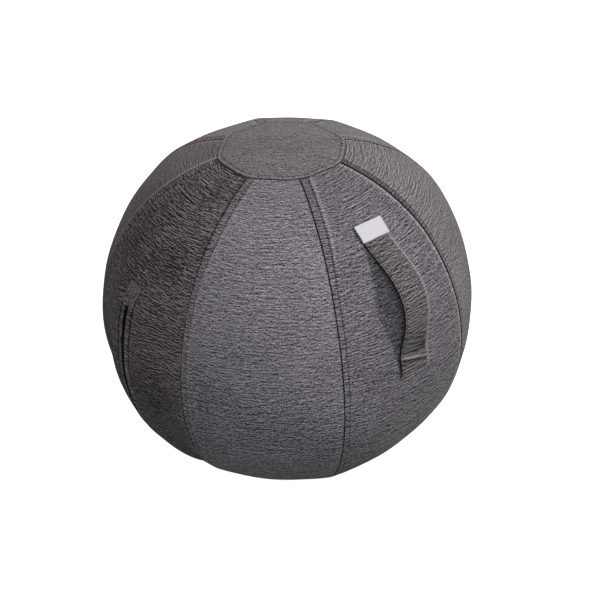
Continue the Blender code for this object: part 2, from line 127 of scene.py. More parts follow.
PATCH_HALF = 0.0165
PATCH_ARC = radians(6.5)
PATCH = 0.0012

# Values that follow from them
CENTRE = np.array([0.0, 0.0, BALL_RADIUS - FOOT_SINK])
GORE_ANGLE = 2.0 * pi / GORES
HALF_GORE = GORE_ANGLE / 2.0
POLE = pi / 2.0
HANDLE_AZIMUTH = 2.0 * GORE_ANGLE
ZIP_RADIUS = BALL_RADIUS + ZIP_RIDGE
LIP_INNER = ZIP_RADIUS - CLOTH
PLATE_HIGH = LIP_INNER - RUN_GAP
PLATE_LOW = PLATE_HIGH - PLATE
COIL_HIGH = PLATE_LOW - RUN_GAP
COIL_LOW = COIL_HIGH - COIL
TAPE_HIGH = COIL_LOW - RUN_GAP
TAPE_LOW = TAPE_HIGH - TAPE
BASE_HIGH = TAPE_LOW - RUN_GAP
BASE_LOW = BASE_HIGH - BASE_PLATE
BAR_RADIUS = ZIP_RADIUS + EYE_HALF + BAIL_WALL / 2.0
SLIDER_REST = ZIP_BOTTOM + STOP_ARC + STOP_CLEARANCE + SLIDER_HALF_LENGTH / ZIP_RADIUS

# Lengths and differences that count as none
SMALLEST = 1e-12
LEVEL = 1e-9


def smooth(value, start, reach, full=1.0):
    """Ease from 0 at the start to full after the reach."""
    share = np.clip((value - start) / reach, 0.0, 1.0)
    return full * share * share * (3.0 - 2.0 * share)


def fade(value, end, reach, full=1.0):
    """Ease from full, one reach before the end, to 0 at the end."""
    return smooth(-value, -end, reach, full)


def bump(value, middle, reach, full=1.0):
    """A smooth hill that is full at the middle and gone at the reach to either side."""
    return fade(np.abs(value - middle), reach, reach, full)


def dent(distance, line, width):
    """A narrow bell curve about a line."""
    return np.exp(-(((distance - line) / width) ** 2))


def triple(x, y, z):
    """Points or vectors from their three coordinates."""
    return np.stack(np.broadcast_arrays(x, y, z), axis=-1)


def unit(vectors):
    return vectors / np.maximum(np.linalg.norm(vectors, axis=-1, keepdims=True), SMALLEST)


def circle(number):
    """Angles spread evenly over a full turn."""
    return np.linspace(0.0, 2.0 * pi, number, endpoint=False)


def nearest(values, wanted):
    """Index of the value that comes nearest."""
    return int(np.argmin(np.abs(values - wanted)))


def distances(line):
    """How far each point of a line lies from its start, along the line."""
    return np.concatenate([[0.0], np.cumsum(np.linalg.norm(np.diff(line, axis=0), axis=1))])


def direction(azimuth, latitude):
    level = np.cos(latitude)
    return triple(level * np.sin(azimuth), -level * np.cos(azimuth), np.sin(latitude))


def profile_radius(latitude):
    """Distance of a seam from the ball's centre."""
    crown = np.clip((latitude - CROWN_START) / (POLE - CROWN_START), 0.0, 1.0)
    tuck = np.clip((TUCK_START - latitude) / (TUCK_START - FOOT_EDGE), 0.0, None)
    return BALL_RADIUS - CROWN_DROP * (1.0 - np.cos(pi * crown)) / 2.0 - TUCK_DROP * tuck * tuck


def cover_radius(turn, latitude):
    """Distance of the cover from the centre; turn is the angle from the gore's middle line."""
    facet = 1.0 - cos(HALF_GORE) / np.cos(turn)
    return profile_radius(latitude) * (1.0 - FLATNESS * np.cos(latitude) * facet)


def cover_point(gore, turn, latitude, depth):
    reach = cover_radius(turn, latitude) - depth
    return CENTRE + direction(gore * GORE_ANGLE + turn, latitude) * reach[..., None]


def zip_point(across, latitude, radius):
    """A point beside the zip, which lies on a circle about the ball's X axis."""
    return CENTRE + direction(0.0, latitude) * np.asarray(radius)[..., None] + triple(across, 0.0, 0.0)


def tent_share(turn, latitude):
    """How far the cover stands up to the zip: fully at the lips, easing off around them."""
    lip_turn = LIP_HALF / BALL_RADIUS
    over = np.maximum(np.maximum(latitude - ZIP_TOP, ZIP_BOTTOM - latitude), 0.0)
    return fade(over, TENT_FADE, TENT_FADE) * fade(np.abs(turn), TENT_EDGE, TENT_EDGE - lip_turn)


def zip_cover_point(turn, latitude, depth):
    """The zip gore: the cover drawn up to the zip's lips."""
    plain = cover_point(0, turn, latitude, depth)
    raised = zip_point(BALL_RADIUS * turn, latitude, ZIP_RADIUS - depth)
    share = tent_share(turn, latitude)[..., None]
    return plain * (1.0 - share) + raised * share


def rounded_drop(distance, width, depth):
    """Depth below the surface near an edge that rolls over in a quarter round."""
    near = np.clip(1.0 - distance / width, 0.0, 1.0)
    return depth * (1.0 - np.sqrt(1.0 - near * near))


GROOVE_DEPTH = 0.001
GROOVE_WIDTH = 0.0012


def groove(distance, line):
    """The dent of a row of stitches that runs this far from an edge."""
    return GROOVE_DEPTH * dent(distance, line, GROOVE_WIDTH)


def link_object(name, data):
    made = bpy.data.objects.new(name, data)
    bpy.context.scene.collection.objects.link(made)
    return made


class Shape:
    """Grids gathered into one mesh. Points have cloth coordinates and a shade: painted shade above 0, painted
    highlight below.
    """

    def __init__(self):
        self.points, self.cloth, self.shade = [], [], []
        self.faces, self.slots = [], []
        self.count = 0

    def add(self, points, cloth=None, shade=0.0, slot=0, wrap_rows=False, wrap_columns=False, keep=None):
        """Add one grid of points, or a stack of equal ones. Rows run down and columns to the right."""
        number, rows, columns = (1, *points.shape[:-1])[-3:]
        row = np.arange(rows if wrap_rows else rows - 1)
        column = np.arange(columns if wrap_columns else columns - 1)
        row, column = np.meshgrid(row, column, indexing="ij")
        if keep is not None:
            row, column = row[keep], column[keep]
        here, below = row * columns, (row + 1) % rows * columns
        right = (column + 1) % columns
        quads = np.stack([here + column, below + column, below + right, here + right], axis=-1).reshape(-1, 4)
        starts = self.count + np.arange(number) * rows * columns
        quads = (starts[:, None, None] + quads).reshape(-1, 4)
        self.points.append(points.reshape(-1, 3))
        self.cloth.append(np.broadcast_to(points if cloth is None else cloth, points.shape).reshape(-1, 3))
        self.shade.append(np.broadcast_to(shade, points.shape[:-1]).reshape(-1))
        self.faces.append(quads)
        self.slots.append(np.full(len(quads), slot))
        self.count += number * rows * columns

    def make(self, name, *materials):
        mesh = bpy.data.meshes.new(name)
        mesh.from_pydata(np.concatenate(self.points).tolist(), [], np.concatenate(self.faces).tolist())
        mesh.polygons.foreach_set("material_index", np.concatenate(self.slots).astype(np.int32))
        cloth = mesh.attributes.new("cloth", "FLOAT_VECTOR", "POINT")
        cloth.data.foreach_set("vector", np.concatenate(self.cloth).astype(np.float32).ravel())
        shade = mesh.attributes.new("shade", "FLOAT", "POINT")
        shade.data.foreach_set("value", np.concatenate(self.shade).astype(np.float32))
        for made in materials:
            mesh.materials.append(made)
        mesh.shade_smooth()
        return link_object(name, mesh)


def surface_normals(points):
    """Outward unit normals of a grid whose rows run down and columns to the right."""
    return unit(np.cross(np.gradient(points, axis=0), np.gradient(points, axis=1)))


def along_line(line, values, places):
    """Values carried by the points of a line, read at these distances along it."""
    travelled = distances(line)
    return np.stack([np.interp(places, travelled, values[:, axis]) for axis in range(3)], axis=-1)


STITCH_LENGTH = 0.0034
STITCH_GAP = 0.0012
STITCH_RADIUS = 0.00034
STITCH_POINTS = 6
STITCH_SIDES = 6
STITCH_ARCH = 1.5
STITCH_DIP = 0.9
STITCH_TAPER = 0.25


def add_stitches(shape, line, normals, slot=0):
    """Sew a line: short arched threads whose ends dip into the cloth."""
    total = distances(line)[-1]
    pitch = STITCH_LENGTH + STITCH_GAP
    number = int(total / pitch)
    starts = (total - number * pitch + STITCH_GAP) / 2.0 + np.arange(number) * pitch
    shares = np.linspace(0.0, 1.0, STITCH_POINTS)
    places = starts[:, None] + shares * STITCH_LENGTH
    points = along_line(line, line, places)
    up = unit(along_line(line, normals, places))
    side = np.cross(unit(np.gradient(points, axis=1)), up)
    swell = np.sin(pi * shares)
    arch = STITCH_RADIUS * (STITCH_ARCH * swell - STITCH_DIP)
    thick = STITCH_RADIUS * (1.0 - STITCH_TAPER + STITCH_TAPER * swell)
    angle = circle(STITCH_SIDES)
    ring = side[:, :, None] * np.cos(angle)[:, None] + up[:, :, None] * np.sin(angle)[:, None]
    tube = (points + up * arch[:, None])[:, :, None] + ring * thick[:, None, None]
    cloth = triple(angle * STITCH_RADIUS, (shares * STITCH_LENGTH)[:, None], 0.0)
    shape.add(tube, cloth, slot=slot, wrap_columns=True)


def finish_piece(piece, slot, *nodes, body="ball"):
    """Let a fixed piece ride on its body and stand for its CAD nodes."""
    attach(piece, body)
    if nodes:
        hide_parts(*nodes)
    return piece


def sew_rings(name, material, slot, points, rings):
    """Closed rows of stitches along these rows of a round grid."""
    sewing = Shape()
    normals = surface_normals(points)
    for ring in rings:
        add_stitches(sewing, *(np.concatenate([grid[ring], grid[ring, :1]]) for grid in (points, normals)))
    finish_piece(sewing.make(name, material), slot)


class Value:
    """A number that a node gives, written in sums and products like any other."""

    def __init__(self, nodes, socket):
        self.nodes = nodes
        self.socket = socket

    def __add__(self, other):
        return self.nodes.math("ADD", self, other)

    def __sub__(self, other):
        return self.nodes.math("SUBTRACT", self, other)

    def __mul__(self, other):
        return self.nodes.math("MULTIPLY", self, other)

    def __truediv__(self, other):
        return self.nodes.math("DIVIDE", self, other)


class Nodes:
    """Short way to write a node tree."""

    def __init__(self, tree):
        self.tree = tree

    def feed(self, socket, value):
        value = value.socket if isinstance(value, Value) else value
        if isinstance(value, bpy.types.NodeSocket):
            self.tree.links.new(value, socket)
        else:
            socket.default_value = value

    def add(self, kind, *inputs, **settings):
        """A new node with these settings, whose first sockets are fed in order."""
        node = self.tree.nodes.new(kind)
        for key, value in settings.items():
            setattr(node, key, value)
        for socket, value in zip(node.inputs, inputs):
            self.feed(socket, value)
        return node

    def feed_named(self, node, **inputs):
        for key, value in inputs.items():
            self.feed(node.inputs[key], value)

    def math(self, operation, first, second=0.0, clamp=False):
        node = self.add("ShaderNodeMath", first, second, operation=operation, use_clamp=clamp)
        return Value(self, node.outputs[0])

    def split(self, vector):
        return [Value(self, socket) for socket in self.add("ShaderNodeSeparateXYZ", vector).outputs]

    def join(self, x, y, z):
        return self.add("ShaderNodeCombineXYZ", x, y, z).outputs[0]

    def cloth(self):
        """A surface point's place across and along its cloth, and the number of its piece of cloth."""
        return self.split(self.add("ShaderNodeAttribute", attribute_name="cloth").outputs["Vector"])

    def shade(self):
        return Value(self, self.add("ShaderNodeAttribute", attribute_name="shade").outputs["Fac"])

    def noise(self, vector, scale, detail=2.0, roughness=0.5):
        node = self.add("ShaderNodeTexNoise")
        self.feed_named(node, Vector=vector, Scale=scale, Detail=detail, Roughness=roughness)
        return Value(self, node.outputs["Fac"])

    def spread(self, value, low, high, out_low=0.0, out_high=1.0):
        node = self.add("ShaderNodeMapRange", value, low, high, out_low, out_high, clamp=True)
        return Value(self, node.outputs[0])

    def ramp(self, value, stops):
        node = self.add("ShaderNodeValToRGB", value)
        elements = node.color_ramp.elements
        while len(elements) < len(stops):
            elements.new(0.5)
        for element, (place, colour) in zip(elements, stops):
            element.position = place
            element.color = (*colour, 1.0)
        return node.outputs[0]

    def mix(self, share, first, second, blend="MIX"):
        node = self.add("ShaderNodeMix", share, data_type="RGBA", blend_type=blend)
        for socket, value in ((node.inputs[6], first), (node.inputs[7], second)):
            self.feed(socket, value if isinstance(value, bpy.types.NodeSocket) else (*value, 1.0))
        return node.outputs[2]

    def bump(self, height, distance, strength=1.0):
        node = self.add("ShaderNodeBump")
        self.feed_named(node, Height=height, Distance=distance, Strength=strength)
        return node.outputs["Normal"]

    def seen(self):
        """1 where the camera sees this itself, in a mirror or through glass; 0 where it only gives light."""
        path = self.add("ShaderNodeLightPath").outputs
        direct = self.math("MAXIMUM", path["Is Camera Ray"], path["Is Glossy Ray"])
        return self.math("MAXIMUM", direct, path["Is Transmission Ray"])


class Surface(Nodes):
    """A material's node tree, which ends in its Principled shader."""

    def __init__(self, name):
        self.material = bpy.data.materials.new(name)
        self.material.use_nodes = True
        super().__init__(self.material.node_tree)
        self.shader = self.tree.nodes["Principled BSDF"]

    def finish(self, colour, roughness, normal=None, **plain):
        self.feed(self.shader.inputs["Base Color"], colour)
        self.feed(self.shader.inputs["Roughness"], roughness)
        if normal is not None:
            self.feed(self.shader.inputs["Normal"], normal)
        for key, value in plain.items():
            self.shader.inputs[key.replace("_", " ").title().replace("Ior", "IOR")].default_value = value
        return self.material


# Cloth: densities are cells per metre, levels are (place on the ramp, grey) and a rise is the stretch along
# the cloth over which its contrast grows, with the final gain
YARN_PITCH = 0.0017
LONG_PITCH = 0.0019
YARN_DENSITY = 165.0
LONG_DENSITY = 45.0
FUZZ_DENSITY = (600.0, 700.0)
MOTTLE_DENSITY = 14.0
WANDER_DENSITY = 20.0
WANDER = 0.3
ROW_STEP = 7.31
COOL_TINT = (0.98, 0.936, 1.015)
WARM_TINT = (1.0, 0.89, 0.9)
BROWN_TINT = (1.0, 0.87, 0.86)
SOFT_TINT = (1.0, 0.92, 0.95)
STRAP_TINT = (1.0, 0.925, 0.985)
# Painted shade in folds and painted highlights on ridges, both read from the shade attribute
PAINTED_SHADE_TINT = (0.006, 0.0055, 0.006)
PAINTED_SHADE_SHIFT = 0.1
PAINTED_HIGHLIGHT_GAIN = 2.2
PAINTED_HIGHLIGHT_LEVEL = 0.38
PAINTED_HIGHLIGHT_FLATNESS = 0.5
FUZZ_SHARE = 0.36
FLECK_SHARE = 0.36
STREAK_SHARE = 0.22
MOTTLE_SHARE = 0.06
YARN_ROUND = -1.6
FUZZ_HEIGHT = 0.9
STREAK_HEIGHT = 0.6
CLOTH_RELIEF = 0.0012
CLOTH_STRENGTH = 0.45
CLOTH_GLOSS = (0.3, 0.7, 0.97, 0.86)
CLOTH_SHEEN = {"sheen_weight": 0.12, "sheen_roughness": 0.45, "specular_ior_level": 0.0}
CLOTH_LEVELS = ((0.36, 0.008), (0.44, 0.10), (0.5, 0.19), (0.57, 0.26), (0.66, 0.48))
CAP_LEVELS = ((0.35, 0.01), (0.44, 0.11), (0.5, 0.19), (0.57, 0.27), (0.68, 0.45))
DARK_LEVELS = ((0.415, 0.004), (0.47, 0.05), (0.53, 0.25), (0.6, 0.8))
GORE_RISE = (-0.12, 0.03, 1.5)
ZIP_RISE = (-0.1, 0.02, 2.5)
STRAP_RISE = (0.03, 0.2, 1.5)
NO_RISE = (1.0, 2.0, 1.0)


def chenille(name, tone, levels=CLOTH_LEVELS, pitch=YARN_PITCH, streak=STREAK_SHARE, tint=COOL_TINT,
             density=YARN_DENSITY, rough=FUZZ_SHARE, rise=GORE_RISE):
    """Heathered chenille: soft yarns side by side, each flecked and with long pale and dark stretches."""
    n = Surface(name)
    across, along, piece = n.cloth()
    place = n.join(across, along, piece)
    fuzz = n.noise(n.join(across * FUZZ_DENSITY[0], along * FUZZ_DENSITY[1], piece), 1.0, 0.0)
    yarns = along / pitch + n.noise(place, WANDER_DENSITY, 1.0) * WANDER
    yarn = n.math("FLOOR", yarns)

    def contrast(density):
        """How a yarn's shade differs from that of the next one."""
        first, second = (n.noise(n.join(across * density, (yarn + step) * ROW_STEP, piece), 1.0)
                         for step in (0.0, 1.0))
        return first - second

    streaks = contrast(LONG_DENSITY)
    value = (fuzz - 0.5) * rough + contrast(density) * FLECK_SHARE + streaks * streak
    value = value + (n.noise(place, MOTTLE_DENSITY) - 0.5) * MOTTLE_SHARE
    start, end, gain = rise
    value = value * n.spread(along, start, end, 1.0, gain)
    # The shade attribute darkens folds and creases as painted shade, and below 0 lightens ridges as painted
    # highlights
    shade = n.shade()
    fold = n.math("MAXIMUM", shade, 0.0)
    stops = [(level, tuple(tone * grey * part for part in tint)) for level, grey in levels]
    colour = n.ramp(value + 0.5 - fold * PAINTED_SHADE_SHIFT, stops)
    bright = n.mix(1.0, colour, (PAINTED_HIGHLIGHT_GAIN,) * 3, "MULTIPLY")
    pale = n.mix(PAINTED_HIGHLIGHT_FLATNESS, bright, tuple(tone * PAINTED_HIGHLIGHT_LEVEL * part for part in tint))
    colour = n.mix(n.math("MULTIPLY", shade, -1.0, clamp=True), colour, pale)
    colour = n.mix(fold, colour, PAINTED_SHADE_TINT)
    hill = yarns - yarn - 0.5
    height = hill * hill * YARN_ROUND + fuzz * FUZZ_HEIGHT + streaks * STREAK_HEIGHT
    normal = n.bump(height, CLOTH_RELIEF, CLOTH_STRENGTH)
    return n.finish(colour, n.spread(fuzz, *CLOTH_GLOSS), normal, **CLOTH_SHEEN)


# Plainer surfaces: a range is read from and to on the first scale, then on the second
TWIST_ALONG = 5200.0
TWIST_AROUND = 2950.0
TWIST_RANGE = (-0.8, 0.6)
TWIST_DARK = 0.55
TWIST_GLOSS = (-1.0, 1.0, 0.75, 0.55)
TWIST_RELIEF = 0.00008
TWIST_SHEEN = 0.1
WEAVE_RANGE = (-1.0, 1.0, 0.0, 0.6)
WEAVE_UNEVEN = 0.4
WEAVE_UNEVEN_DENSITY = 0.09
WEAVE_STOPS = (0.15, 0.85)
WEAVE_PAINTED_SHADE = 0.2
WEAVE_RELIEF = 0.25
WEAVE_STRENGTH = 0.6
CLOUD_DENSITY = 0.06
GRAIN_DETAIL = (4.0, 0.6)
GRAIN_STOPS = (0.35, 0.65)
GLOSS_FROM = (0.3, 0.7)
WEAVE_GLOSS = 0.06
MOULD_GLOSS = 0.07


def thread(name, colour):
    """Sewing thread with its twist showing."""
    n = Surface(name)
    around, along, _ = n.cloth()
    wave = n.math("SINE", along * TWIST_ALONG + around * TWIST_AROUND)
    shown = n.mix(n.spread(wave, *TWIST_RANGE), tuple(TWIST_DARK * part for part in colour), colour)
    return n.finish(shown, n.spread(wave, *TWIST_GLOSS), n.bump(wave, TWIST_RELIEF), sheen_weight=TWIST_SHEEN)


def woven(name, dark, light, threads, roughness, **plain):
    """Plain weave: two sets of threads that pass over and under each other."""
    n = Surface(name)
    across, along, piece = n.cloth()
    over = n.math("SINE", across * (threads * pi)) * n.math("SINE", along * (threads * pi))
    uneven = n.noise(n.join(across, along, piece), threads * WEAVE_UNEVEN_DENSITY, 3.0)
    value = n.spread(over, *WEAVE_RANGE) + uneven * WEAVE_UNEVEN
    colour = n.ramp(value, list(zip(WEAVE_STOPS, (dark, light))))
    # Painted shade: the shade attribute darkens the weave in its folds
    colour = n.mix(n.shade(), colour, tuple(WEAVE_PAINTED_SHADE * part for part in dark))
    gloss = n.spread(uneven, *GLOSS_FROM, roughness - WEAVE_GLOSS, roughness + WEAVE_GLOSS)
    return n.finish(colour, gloss, n.bump(over, WEAVE_RELIEF / threads, WEAVE_STRENGTH), **plain)


def moulded(name, dark, light, density, roughness, relief, **plain):
    """A cast, moulded or lacquered surface with a faint grain and uneven gloss."""
    n = Surface(name)
    place = n.add("ShaderNodeTexCoord").outputs["Object"]
    grain = n.noise(place, density, *GRAIN_DETAIL)
    cloud = n.noise(place, density * CLOUD_DENSITY)
    colour = n.ramp((grain + cloud) / 2.0, list(zip(GRAIN_STOPS, (dark, light))))
    gloss = n.spread(cloud, *GLOSS_FROM, roughness - MOULD_GLOSS, roughness + MOULD_GLOSS)
    return n.finish(colour, gloss, n.bump(grain, relief), **plain)


# What each gore's cloth has of its own; its tones are partly painted light and shade, set gore by gore
# The gore with the zip is darker as painted shade, for the shade it lies in and its nap lying the other way
GORE_TONES_WITH_PAINTED_LIGHT = (0.595, 1.19, 0.905, 1.07, 1.05, 1.05, 1.05, 0.87)
GORE_CLOTHS = {0: dict(levels=DARK_LEVELS, pitch=0.00125, streak=0.38, tint=WARM_TINT, density=110.0,
                       rough=0.25, rise=ZIP_RISE),
               2: dict(streak=0.34),
               3: dict(pitch=LONG_PITCH, streak=0.36, tint=SOFT_TINT),
               7: dict(pitch=LONG_PITCH, streak=0.3, tint=BROWN_TINT)}


def make_materials():
    return {
        "cover": [chenille("chenille_%d" % (gore + 1), tone, **GORE_CLOTHS.get(gore, {}))
                  for gore, tone in enumerate(GORE_TONES_WITH_PAINTED_LIGHT)],
        "cap": chenille("chenille_cap", 1.0, CAP_LEVELS, tint=SOFT_TINT, rise=NO_RISE),
        "strap": chenille("chenille_strap", 0.71, pitch=0.002, streak=0.4, tint=STRAP_TINT, rise=STRAP_RISE),
        "patch": chenille("chenille_patch", 0.9, streak=0.3, tint=SOFT_TINT),
        "thread": thread("thread_grey", (0.055, 0.051, 0.054)),
        "dark_thread": thread("thread_black", (0.02, 0.02, 0.021)),
        "label_thread": thread("thread_white", (0.72, 0.72, 0.74)),
        "label": woven("label_weave", (0.56, 0.55, 0.6), (0.74, 0.73, 0.78), 2600.0, 0.55, sheen_weight=0.15),
        "foot": woven("foot_canvas", (0.012, 0.012, 0.013), (0.042, 0.041, 0.043), 1100.0, 0.62),
        "tape": woven("zip_tape_weave", (0.006, 0.006, 0.0065), (0.022, 0.021, 0.023), 2200.0, 0.85),
        "nylon": moulded("zip_coil_nylon", (0.01, 0.01, 0.011), (0.022, 0.022, 0.023), 900.0, 0.42, 0.00003),
        "metal": moulded("zip_lacquer", (0.030, 0.030, 0.032), (0.062, 0.061, 0.064), 700.0, 0.34, 0.00003,
                         metallic=1.0),
        "vinyl": moulded("ball_vinyl", (0.21, 0.22, 0.24), (0.28, 0.29, 0.31), 260.0, 0.42, 0.0001),
        "foam": moulded("ring_foam", (0.03, 0.03, 0.033), (0.075, 0.074, 0.08), 420.0, 0.92, 0.0005),
        "plastic": moulded("valve_plastic", (0.74, 0.74, 0.72), (0.84, 0.84, 0.82), 500.0, 0.4, 0.00004),
    }


# Sewing: each seam is pressed to one side and topstitched, so one side of it carries a raised band
SEAM_DEPTH = 0.0011
SEAM_SLOPE = 0.003
RIDGE_RISE = 0.0007
RIDGE_LINE = 0.0038
RIDGE_CREST = 0.0048
FOLD_RADIUS = 0.0013
EDGE_DEPTH = 0.002
EDGE_WIDTH = 0.0026
BAND_WIDTH = 0.0125
BAND_RISE = 0.0012
BAND_EDGE = 0.0022
BAND_STITCH = 0.0126
BAND_LEAST = 0.68
BAND_WIDENING = (radians(32.0), radians(20.0), 1.0 - BAND_LEAST)
PUCKER = 0.00022
PUCKER_LENGTH = 0.0125
PUCKER_REACH = 0.009
PUCKER_SWING = 1.7
PUCKER_DRIFT = 61.0
GORE_PHASE = 2.1
UNEVENNESS = 0.0007
UNEVEN_START = 0.012
UNEVEN_REACH = 0.04
UNEVEN_WAVES = ((43.0, 17.0, 1.0), (-11.0, 38.0, 1.3))
GORE_OFFSET = 3.7
STRETCH = 0.38
STRETCH_START = radians(12.0)
STRETCH_FADE = radians(35.0)

# Painted shades and their zones are written as place, reach and strength, which is 1 where none is given
HIGH = (radians(36.0), radians(18.0))
UPPER = (radians(8.0), radians(40.0))
END_FOLD_SHADE = (0.0, 0.0014, 0.8)
FRONT_FOLD = (0.0, 0.004, 0.65)
FRONT_FOLD_HEIGHT = (radians(25.0), radians(30.0))
HANDLE_SHADE = (0.021, 0.018, 0.13)
HANDLE_SHADE_HEIGHT = (radians(48.0), radians(18.0))
LINE_WIDTH = 0.0024
STRIP_WIDTH = 0.005

# Looks of the seams as painted shade and highlight: widths of both folds' shade, width and strength of the
# pale ridge, strengths of the stitched line and of the pale strip with what is added high up, and of the band
# with what is added high and above
COMMON_SEAM = {"folds": (0.0011, 0.0023), "ridge": (0.0018, 0.4), "line": (0.4, 0.15), "strip": (0.08, 0.4),
               "band": (0.0, 0.04, 0.0)}
GORE_SEAMS = {0: {"band": (-0.4, 0.0, 0.0)},
              1: {"line": (0.2, 0.2), "strip": (0.12, 0.0), "band": (0.08, 0.0, 0.12)},
              2: {"folds": (0.0014, 0.0036), "ridge": (0.0032, 0.9)},
              3: {"folds": (0.0026, 0.0023), "strip": (0.12, 0.0), "band": (0.08, 0.12, 0.12)},
              7: {"ridge": (0.005, 0.8)}}

# Grid steps, as distances from an edge
TOP_OFFSETS = np.array([0.0, 0.0003, 0.0007, 0.0012, 0.0019, 0.0028, 0.0045, 0.007])
FOOT_OFFSETS = np.array([0.006, 0.0035, 0.0022, 0.0014, 0.0008, 0.0003, 0.0])
BAND_OFFSETS = np.array([0.0, 0.0002, 0.0005, 0.0009, 0.0014, 0.002, 0.0028, 0.0045, 0.0065, 0.0085, 0.0102,
                         0.011, 0.0116, 0.0121, 0.0126, 0.0131, 0.0138, 0.0148, 0.0158, 0.0168, 0.018,
                         0.0195, 0.022])
TUCKED_OFFSETS = np.array([0.01, 0.0075, 0.006, 0.005, 0.0042, 0.0036, 0.003, 0.0024, 0.0018, 0.0013, 0.0008,
                           0.0004, 0.0])
GORE_COLUMNS = 22
GORE_ROWS = 150
CAP_CORNER_SOFTNESS = 0.035
HALVINGS = 40


def cap_edge(turn):
    """Latitude of the cap's edge: an octagon whose corners the sewing has rounded a little."""
    corner = 1.0 - CAP_CORNER_SOFTNESS * (np.abs(turn) / HALF_GORE) ** 4
    side = CAP_RADIUS * cos(HALF_GORE) / np.cos(turn) * corner
    low = np.full_like(turn, CROWN_START)
    high = np.full_like(turn, POLE)
    for _ in range(HALVINGS):
        middle = (low + high) / 2.0
        outside = cover_radius(turn, middle) * np.cos(middle) > side
        low = np.where(outside, middle, low)
        high = np.where(outside, high, middle)
    return low


def band_scale(latitude):
    """The topstitched band is narrower low on the ball."""
    return BAND_LEAST + smooth(latitude, *BAND_WIDENING)


